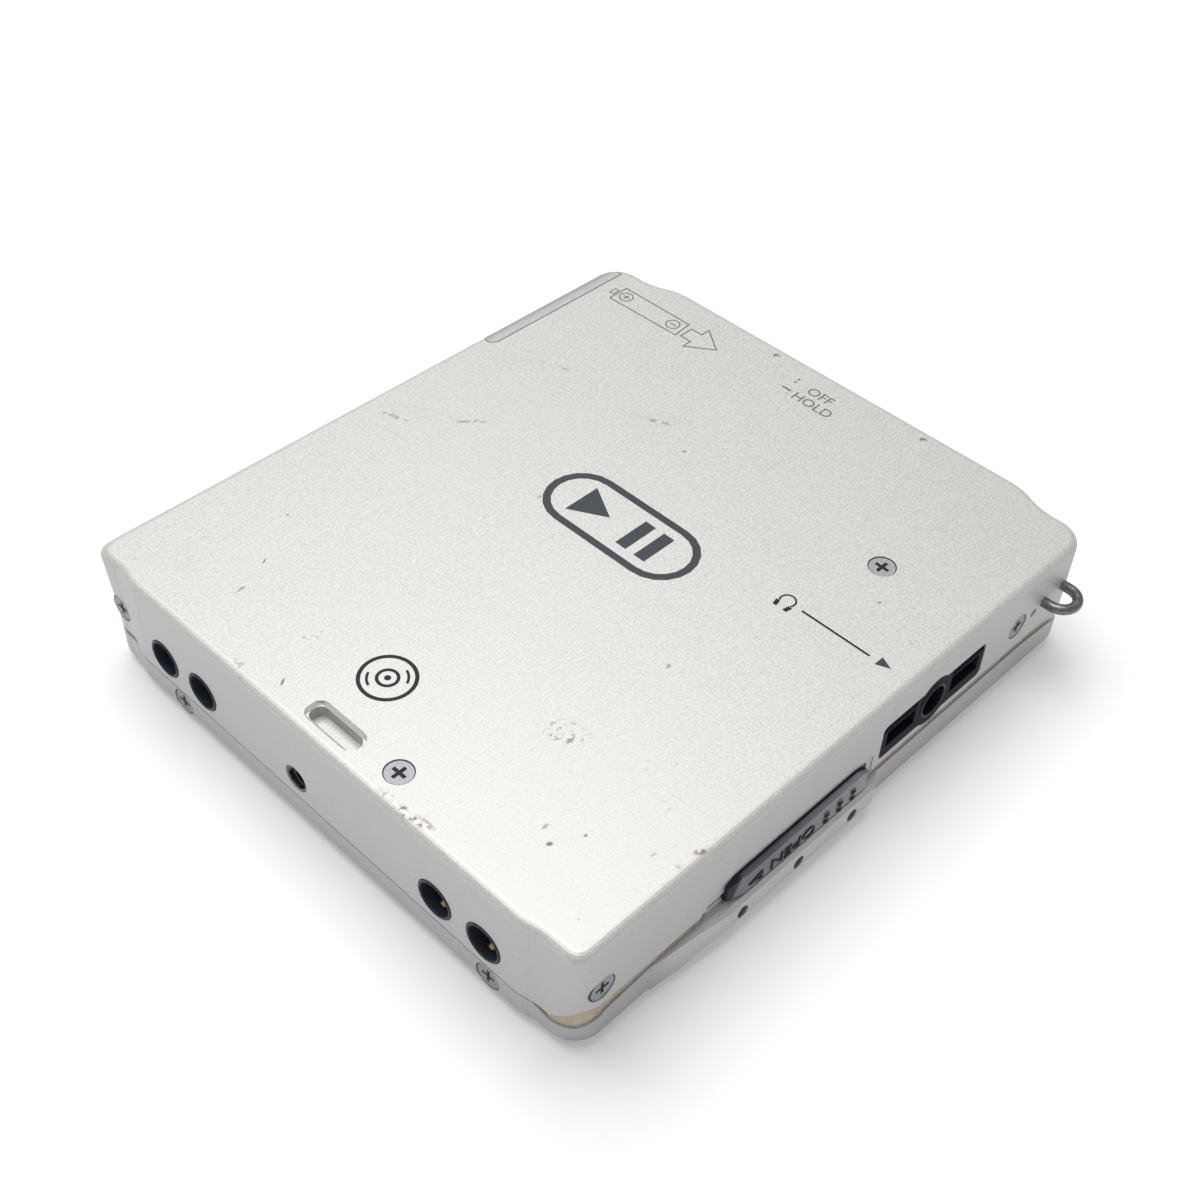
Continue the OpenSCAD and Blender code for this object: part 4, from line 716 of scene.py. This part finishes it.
# %% Hold switch words
words = bmesh.new()
ink_text(words, "OFF", 2.05, (-1.65, 36.15))
ink_text(words, "HOLD", 2.05, (-2.35, 34.1))
ink_disc(words, (-3.7, 37.5), 0.17)
ink_disc(words, (-3.7, 36.85), 0.17)
ink_bar(words, (-4.3, 34.95), (-2.95, 35.2))
print_on_face("hold_words", words, switch_sign_shade)

# %% [markdown]
# By the front edge a headphone sign points at the socket: a spun arc for the band, two small pads, a
# plain line and a triangle.

# %% Headphone sign
BAND_X = 19.75
PAD = ((0.90, 5.95), (0.40, 5.95), (0.56, 6.78), (1.06, 6.78))
phones = bmesh.new()
ink_arc(phones, (BAND_X, 7.35), 0.98, 0.20, math.radians(-35), math.radians(250))
for side in (-1, 1):
    ink_fill(phones, [(BAND_X + side * x, y) for x, y in PAD])
ink_bar(phones, (21.7, 7.15), (30.5, 7.4))
print_on_face("headphone_sign", phones, black_ink_and_shade)

pointer = bmesh.new()
ink_fill(pointer, [(31.55, 6.72), (33.1, 7.4), (31.55, 8.08)])
print_on_face("socket_pointer", pointer, slate_ink)

# %% [markdown]
# The middle of the face carries a plain emblem of a player: a capsule outline that holds a play
# triangle and two pause bars. Near the pocket is a small sign of a disc, made of rings.

# %% Plain emblem and disc sign


def capsule(cx, cy, length, height, steps=10):
    """Corner points of a bar with round ends."""
    r = height / 2
    ends = []
    for side in (1, -1):
        for i in range(steps + 1):
            a = math.pi * i / steps - math.pi / 2
            ends.append((cx + side * (length / 2 - r + r * math.cos(a)), cy + side * r * math.sin(a)))
    return ends


emblem = bmesh.new()
ink_outline(emblem, capsule(-0.3, 3.2, 20.4, 9.0), 0.9)
ink_fill(emblem, [(-6.3, 0.7), (-1.9, 3.2), (-6.3, 5.7)])
for x in (1.2, 3.9):
    ink_bar(emblem, (x, 0.8), (x + 1.5, 5.6))
print_on_face("plain_emblem", emblem, slate_ink)

DISC_AT = (-0.4, -29.5)
disc = bmesh.new()
for radius, width in ((3.1, 0.42), (1.25, 0.35)):
    ink_ring(disc, DISC_AT, radius, width, 56)
ink_disc(disc, DISC_AT, 0.35)
for start in (25, 205):
    ink_arc(disc, DISC_AT, 2.2, 0.28, math.radians(start), math.radians(50), 12)
print_on_face("disc_sign", disc, black_ink_and_shade)

# %% [markdown]
# The slider carries its word in raised letters, upside down in this picture because the player lies
# on its lid. The letters are a thicker film, stretched a little and moulded in one with the slider.

# %% Raised word on the slider
WORD_STRETCH, WORD_THICK, WORD_SUNK = 1.32, 0.16, 0.35
legend = bmesh.new()
ink_text(legend, "OPEN", 2.0, (0.0, -0.72))
bmesh.ops.scale(legend, verts=legend.verts, vec=(WORD_STRETCH, 1, 1))
ink_outline(legend, [(8.0, -0.6), (10.0, 0.0), (8.0, 0.6)], 0.2)
film(legend, WORD_THICK)
lay_on(legend, (-1, 0, 0), (0, 0, -1), (-7.0, slider_low.y / MM + WORD_SUNK, 6.15))
raised = plastic("dark_letters", (0.014, 0.015, 0.018), (0.032, 0.034, 0.040), (0.26, 0.38), 0.15).done()
add_piece("slider_word", legend, raised, "slider")

# %% [markdown]
# Dirt and shadow make the cross in a screw head look black, and the gap round the head too. Each recess
# gets a thin dark cross on its floor, painted shade and dirt: a cross outline of twelve corners with a
# thickness. A thin dark ring fills the gap, as painted shade. Each screw has its own direction, so both
# are drawn flat and then laid on each head.

# %% Dark floors of the screw recesses
HEAD_OUT, CROSS_DEPTH, CROSS_THICK = -0.10, 0.28, 0.16
GAP_OUTER, GAP_WIDTH, GAP_THICK = 1.58, 0.13, 0.04


def cross(bm, arm=0.80, half=0.19):
    """The outline of a cross recess."""
    ink_fill(bm, [
        (-half, -arm), (half, -arm), (half, -half), (arm, -half), (arm, half), (half, half),
        (half, arm), (-half, arm), (-half, half), (-arm, half), (-arm, -half), (-half, -half)])


def head_gap(bm):
    """The gap between a screw head and its seat, in painted shade."""
    ink_ring(bm, (0, 0), GAP_OUTER, GAP_WIDTH)


def screw_floor(name, body, places):
    """One piece with the dark cross and the dark gap of each screw in a list."""
    whole = bmesh.new()
    for x_way, y_way, origin in places:
        for draw, thick, depth in ((cross, CROSS_THICK, CROSS_DEPTH), (head_gap, GAP_THICK, GAP_THICK)):
            one = bmesh.new()
            draw(one)
            film(one, thick)
            bmesh.ops.translate(one, verts=one.verts, vec=(0, 0, HEAD_OUT - depth))
            lay_on(one, x_way, y_way, origin)
            temp = bpy.data.meshes.new("one_mark")
            one.to_mesh(temp)
            one.free()
            whole.from_mesh(temp)
            bpy.data.meshes.remove(temp)
    return add_piece(name, whole, black_ink_and_shade, body)


LEFT, FRONT = ((0, -1, 0), (0, 0, 1)), ((1, 0, 0), (0, 0, 1))
KEYS, FACE = ((0, 1, 0), (0, 0, 1)), ((1, 0, 0), (0, 1, 0))
FACE_SCREWS = [(*FACE, (-36.45, -9.4, 15.4)), (*FACE, (18.7, -23.3, 15.4))]
WALL_SCREWS = [(*FRONT, (-36.2, -36.0, 8.7)), (*FRONT, (27.5, -36.0, 9.5)), (*LEFT, (-39.5, 32.7, 8.5))]
LID_SCREWS = [(*side, (x, y, 2.6)) for side, x in ((LEFT, -40.05), (KEYS, 41.05)) for y in (22.1, -25.1)]
screw_floor("face_screw_floors", "base", FACE_SCREWS)
screw_floor("wall_screw_floors", "base", WALL_SCREWS)
screw_floor("lid_screw_floors", "lid", LID_SCREWS)

# %% [markdown]
# The screw of a clip-on battery case turns into a threaded insert on the left side. Its thread is a
# ridge that winds inwards: a small triangle spun about the hole while it moves along it. The helpers
# here take what is drawn at the origin in millimetres to its place on the player.

# %% Thread in the insert
QUARTER = math.pi / 2
THREAD_PLACE, TURNS, PER_TURN, PITCH = (-39.75, 2.5, 7.0), 4, 28, 0.5
ROOT, CREST, HALF_RIDGE = 1.30, 1.10, 0.16


def seat(place, axis="X", angle=0.0):
    """The matrix from a drawing in millimetres to its place on the player, turned about an axis."""
    turn = Matrix.Rotation(angle, 4, axis)
    return Matrix.Translation(Vector(place) * MM) @ turn @ Matrix.Scale(MM, 4)


def seat_last(bm, matrix):
    """Moves what was drawn last, and tags it so that it then stays in its place."""
    last = [v for v in bm.verts if not v.tag]
    bmesh.ops.transform(bm, verts=last, matrix=matrix)
    for v in last:
        v.tag = True


thread = bmesh.new()
ridge = ((0, ROOT, HALF_RIDGE), (0, ROOT, -HALF_RIDGE), (0, CREST, 0))
start = thread.faces.new([thread.verts.new(v) for v in ridge])
bmesh.ops.spin(
    thread, geom=[start, *start.edges, *start.verts], cent=(0, 0, 0), axis=(0, 0, 1),
    dvec=(0, 0, PITCH / PER_TURN), angle=2 * math.pi * TURNS, steps=TURNS * PER_TURN, use_duplicate=False)
seat_last(thread, seat(THREAD_PLACE, "Y", QUARTER))
add_piece("insert_thread", thread, FINISHES["insert_metal"], "base", True)

# %% [markdown]
# Each socket on the left side has a smooth moulded lip, which catches a thin line of light, and so has
# the headphone socket. A small round section is spun once about the socket's axis.

# %% Lips of the sockets
CUP_X, CUP_Y, CUP_Z = -40.03, (24.3, 17.8, -18.0, -24.6), 7.5
JACK_PLACE = (12.3, -35.95, 9.3)
CUP_LIP, JACK_LIP, LIP_HALF = 2.1, 1.95, 0.16
lips = bmesh.new()
rings = [(CUP_LIP, (CUP_X, y, CUP_Z), "Y") for y in CUP_Y] + [(JACK_LIP, JACK_PLACE, "X")]
for radius, centre, axis in rings:
    beside = Matrix.Translation((0, radius, 0)) @ Matrix.Rotation(QUARTER, 4, "Y")
    section = bmesh.ops.create_circle(lips, segments=8, radius=LIP_HALF, matrix=beside)["verts"]
    around = list({e for v in section for e in v.link_edges})
    bmesh.ops.spin(
        lips, geom=[*section, *around], cent=(0, 0, 0), axis=(0, 0, 1), angle=2 * math.pi, steps=40,
        use_merge=True, use_duplicate=False)
    seat_last(lips, seat(centre, axis, QUARTER))
add_piece("socket_lips", lips, FINISHES["lip_black"], "base", True)

# %% [markdown]
# In the two front sockets a gold leaf spring shows on the lower wall. Sheet metal is bent to a bow, so
# a short line is spun through part of a circle and the strip gets the thickness of the sheet.

# %% Leaf springs in the front sockets
LEAF_X, LEAF_Z = -38.45, 5.45
LEAF_START, LEAF_HALF = (-0.80, 0.37), 0.5
LEAF_BEND, LEAF_THICK = math.radians(130), 0.1
leaves = bmesh.new()
for y in CUP_Y[2:]:
    ends = [leaves.verts.new((LEAF_START[0], side, LEAF_START[1])) for side in (-LEAF_HALF, LEAF_HALF)]
    line = leaves.edges.new(ends)
    bmesh.ops.spin(
        leaves, geom=[line, *ends], cent=(0, 0, 0), axis=(0, 1, 0), angle=LEAF_BEND, steps=16,
        use_duplicate=False)
    seat_last(leaves, seat((LEAF_X, y, LEAF_Z)))
bmesh.ops.recalc_face_normals(leaves, faces=leaves.faces)
bmesh.ops.solidify(leaves, geom=leaves.faces, thickness=LEAF_THICK * MM)
add_piece("contact_leaves", leaves, FINISHES["gold"], "base", True)

# %% [markdown]
# The two upright corners of the socket side are sharper on the real shell than a plain arc, most of all
# near the upper face. The shell's mesh is copied and merged, and each point of those corners is moved
# away from the arc's axis, out to a rounded square, by a share that grows with its height. Merging would
# smooth over the thin seams of the shell, so each face keeps its old shading, turned at the corners.

# %% Shell with the sharper corners
CORNER_X, CORNER_Y, SQUARENESS = -36.0, 32.5, 5.0
SHARP_FROM, SHARP_AT = 6.5, 12.0
OUTWARD, WELD = 0.3, 1e-6


def corner_place(co):
    """How far a point lies past a corner's axis, both ways, and its share of the sharpness."""
    share = min(max((co.z / MM - SHARP_FROM) / (SHARP_AT - SHARP_FROM), 0.0), 1.0)
    return CORNER_X - co.x / MM, abs(co.y / MM) - CORNER_Y, share


def corner_shading(co, normal):
    """Turns the flat part of a normal that points out of a corner to suit the rounded square."""
    across, along, share = corner_place(co)
    flat = Vector((normal.x, normal.y, 0))
    if min(across, along, share) <= 0:
        return normal
    power = SQUARENESS - 1
    out = Vector((-across ** power, math.copysign(along ** power, co.y), 0)).normalized()
    if flat.dot(out) <= OUTWARD * flat.length:
        return normal
    return normal.lerp(out * flat.length + Vector((0, 0, normal.z)), share).normalized()


def merged_copy(mesh):
    """A merged copy of a CAD mesh, in which each face remembers the face that it comes from."""
    bm = bmesh.new()
    bm.from_mesh(mesh)
    plain_face = bm.faces.layers.int.new("plain_face")
    for face in bm.faces:
        face[plain_face] = face.index
    bmesh.ops.remove_doubles(bm, verts=bm.verts, dist=WELD)
    return bm


def keep_shading(piece, plain, turned):
    """Gives each face the shading of the CAD face that it comes from, turned where its points moved."""
    mesh = piece.data
    shading = []
    for face, row in zip(mesh.polygons, mesh.attributes["plain_face"].data):
        first = plain.polygons[row.value].loop_start
        shading += [
            turned(mesh.vertices[corner].co, plain.corner_normals[first + i].vector.copy())
            for i, corner in enumerate(face.vertices)]
    mesh.attributes.remove(mesh.attributes["plain_face"])
    mesh.normals_split_custom_set(shading)


shell_bm = merged_copy(nodes["base_cover"].data)
moved = 0
for v in shell_bm.verts:
    across, along, share = corner_place(v.co)
    if min(across, along, share) > 0:
        round_out = (across ** SQUARENESS + along ** SQUARENESS) ** (1 / SQUARENESS)
        reach = 1 + share * (math.hypot(across, along) / round_out - 1)
        v.co.x = (CORNER_X - across * reach) * MM
        v.co.y = math.copysign(CORNER_Y + along * reach, v.co.y) * MM
        moved += 1
base_shell = add_piece("base_shell", shell_bm, FINISHES["shell_paint"], "base", True)
keep_shading(base_shell, nodes["base_cover"].data, corner_shading)
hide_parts("base_cover")
print("corner points moved:", moved)

# %% [markdown]
# On the real lid the finger lip dies away slowly towards the left corner, and its three dimples are
# wider than in the CAD. The lid's mesh is copied and merged, the slope at the left end of the lip is
# drawn out along the straight front, and each dimple is widened about its axis.

# %% Lid with the long lip
LIP_STRETCH, LIP_SHIFT, LIP_ROOT, LIP_FRONT = 2.4, -1.6, -18.4, -35.7
LIP_SLOPE, LONG_SLOPE = (-22.6, -18.35), (-30.1, -19.8)
DIMPLES, DIMPLE_Z, DIMPLE_FRONT = (-17.8, -9.4, -1.0), 3.0, -36.4
DIMPLE_REACH, DIMPLE_WIDER = 0.55, 1.5


def on_slope(co, slope):
    """Whether a point lies on the slope at the left end of the lip."""
    return slope[0] < co.x / MM < slope[1] and co.y / MM < LIP_FRONT


def in_dimple(co, x):
    """Whether a point lies in the dimple at x."""
    return co.y / MM < DIMPLE_FRONT and math.hypot(co.x / MM - x, co.z / MM - DIMPLE_Z) < DIMPLE_REACH


def lip_shading(co, normal):
    """The slope that is drawn out is flatter, so its normals lean less along the front."""
    if on_slope(co, LONG_SLOPE):
        return Vector((normal.x / LIP_STRETCH, normal.y, normal.z)).normalized()
    return normal


lid_bm = merged_copy(nodes["lid_cover"].data)
lip_end = [v for v in lid_bm.verts if on_slope(v.co, LIP_SLOPE)]
from_root = Matrix.Translation((-LIP_ROOT * MM, 0, 0))
bmesh.ops.scale(lid_bm, verts=lip_end, vec=(LIP_STRETCH, 1, 1), space=from_root)
bmesh.ops.translate(lid_bm, verts=lip_end, vec=(LIP_SHIFT * MM, 0, 0))
for x in DIMPLES:
    near = [v for v in lid_bm.verts if in_dimple(v.co, x)]
    from_axis = Matrix.Translation((-x * MM, 0, -DIMPLE_Z * MM))
    bmesh.ops.scale(lid_bm, verts=near, vec=(DIMPLE_WIDER, 1, DIMPLE_WIDER), space=from_axis)
lid_shell = add_piece("lid_shell", lid_bm, FINISHES["lid_paint"], "lid", True)
keep_shading(lid_shell, nodes["lid_cover"].data, lip_shading)
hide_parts("lid_cover")

# %% [markdown]
# A bow of gold sheet pushes the slider back. A merged copy of the CAD bow stands for it and rides on the
# base with a mesh of its own, and the CAD bow is hidden.

# %% Bow spring
bow_low, bow_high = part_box("latch_spring")
bow_bm = bmesh.new()
bow_bm.from_mesh(nodes["latch_spring"].data)
bmesh.ops.remove_doubles(bow_bm, verts=bow_bm.verts, dist=WELD)
bow = add_piece("bow_spring", bow_bm, FINISHES["gold"], "base")
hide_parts("latch_spring")
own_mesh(bow)
print("bow length in mm:", round((bow_high.x - bow_low.x) / MM, 2))

# %% [markdown]
# The floors of the three dimples of the finger lip are made dark. They are short discs.

# %% Dark discs in the dimples of the finger lip
FLOOR_DISC_RADIUS, FLOOR_DISC_THICK, FLOOR_DISC_Y = 0.70, 0.3, -36.52
dimples = bmesh.new()
for x in DIMPLES:
    ink_disc(dimples, (x, DIMPLE_Z), FLOOR_DISC_RADIUS, 20)
film(dimples, FLOOR_DISC_THICK)
lay_on(dimples, (1, 0, 0), (0, 0, 1), (0, FLOOR_DISC_Y, 0))
dark_dimple_floor = plastic("dark_dimple_floor", (0.035, 0.034, 0.032), (0.085, 0.083, 0.08), (0.55, 0.75), 0.2).done()
add_piece("dimple_dark_discs", dimples, dark_dimple_floor, "lid")
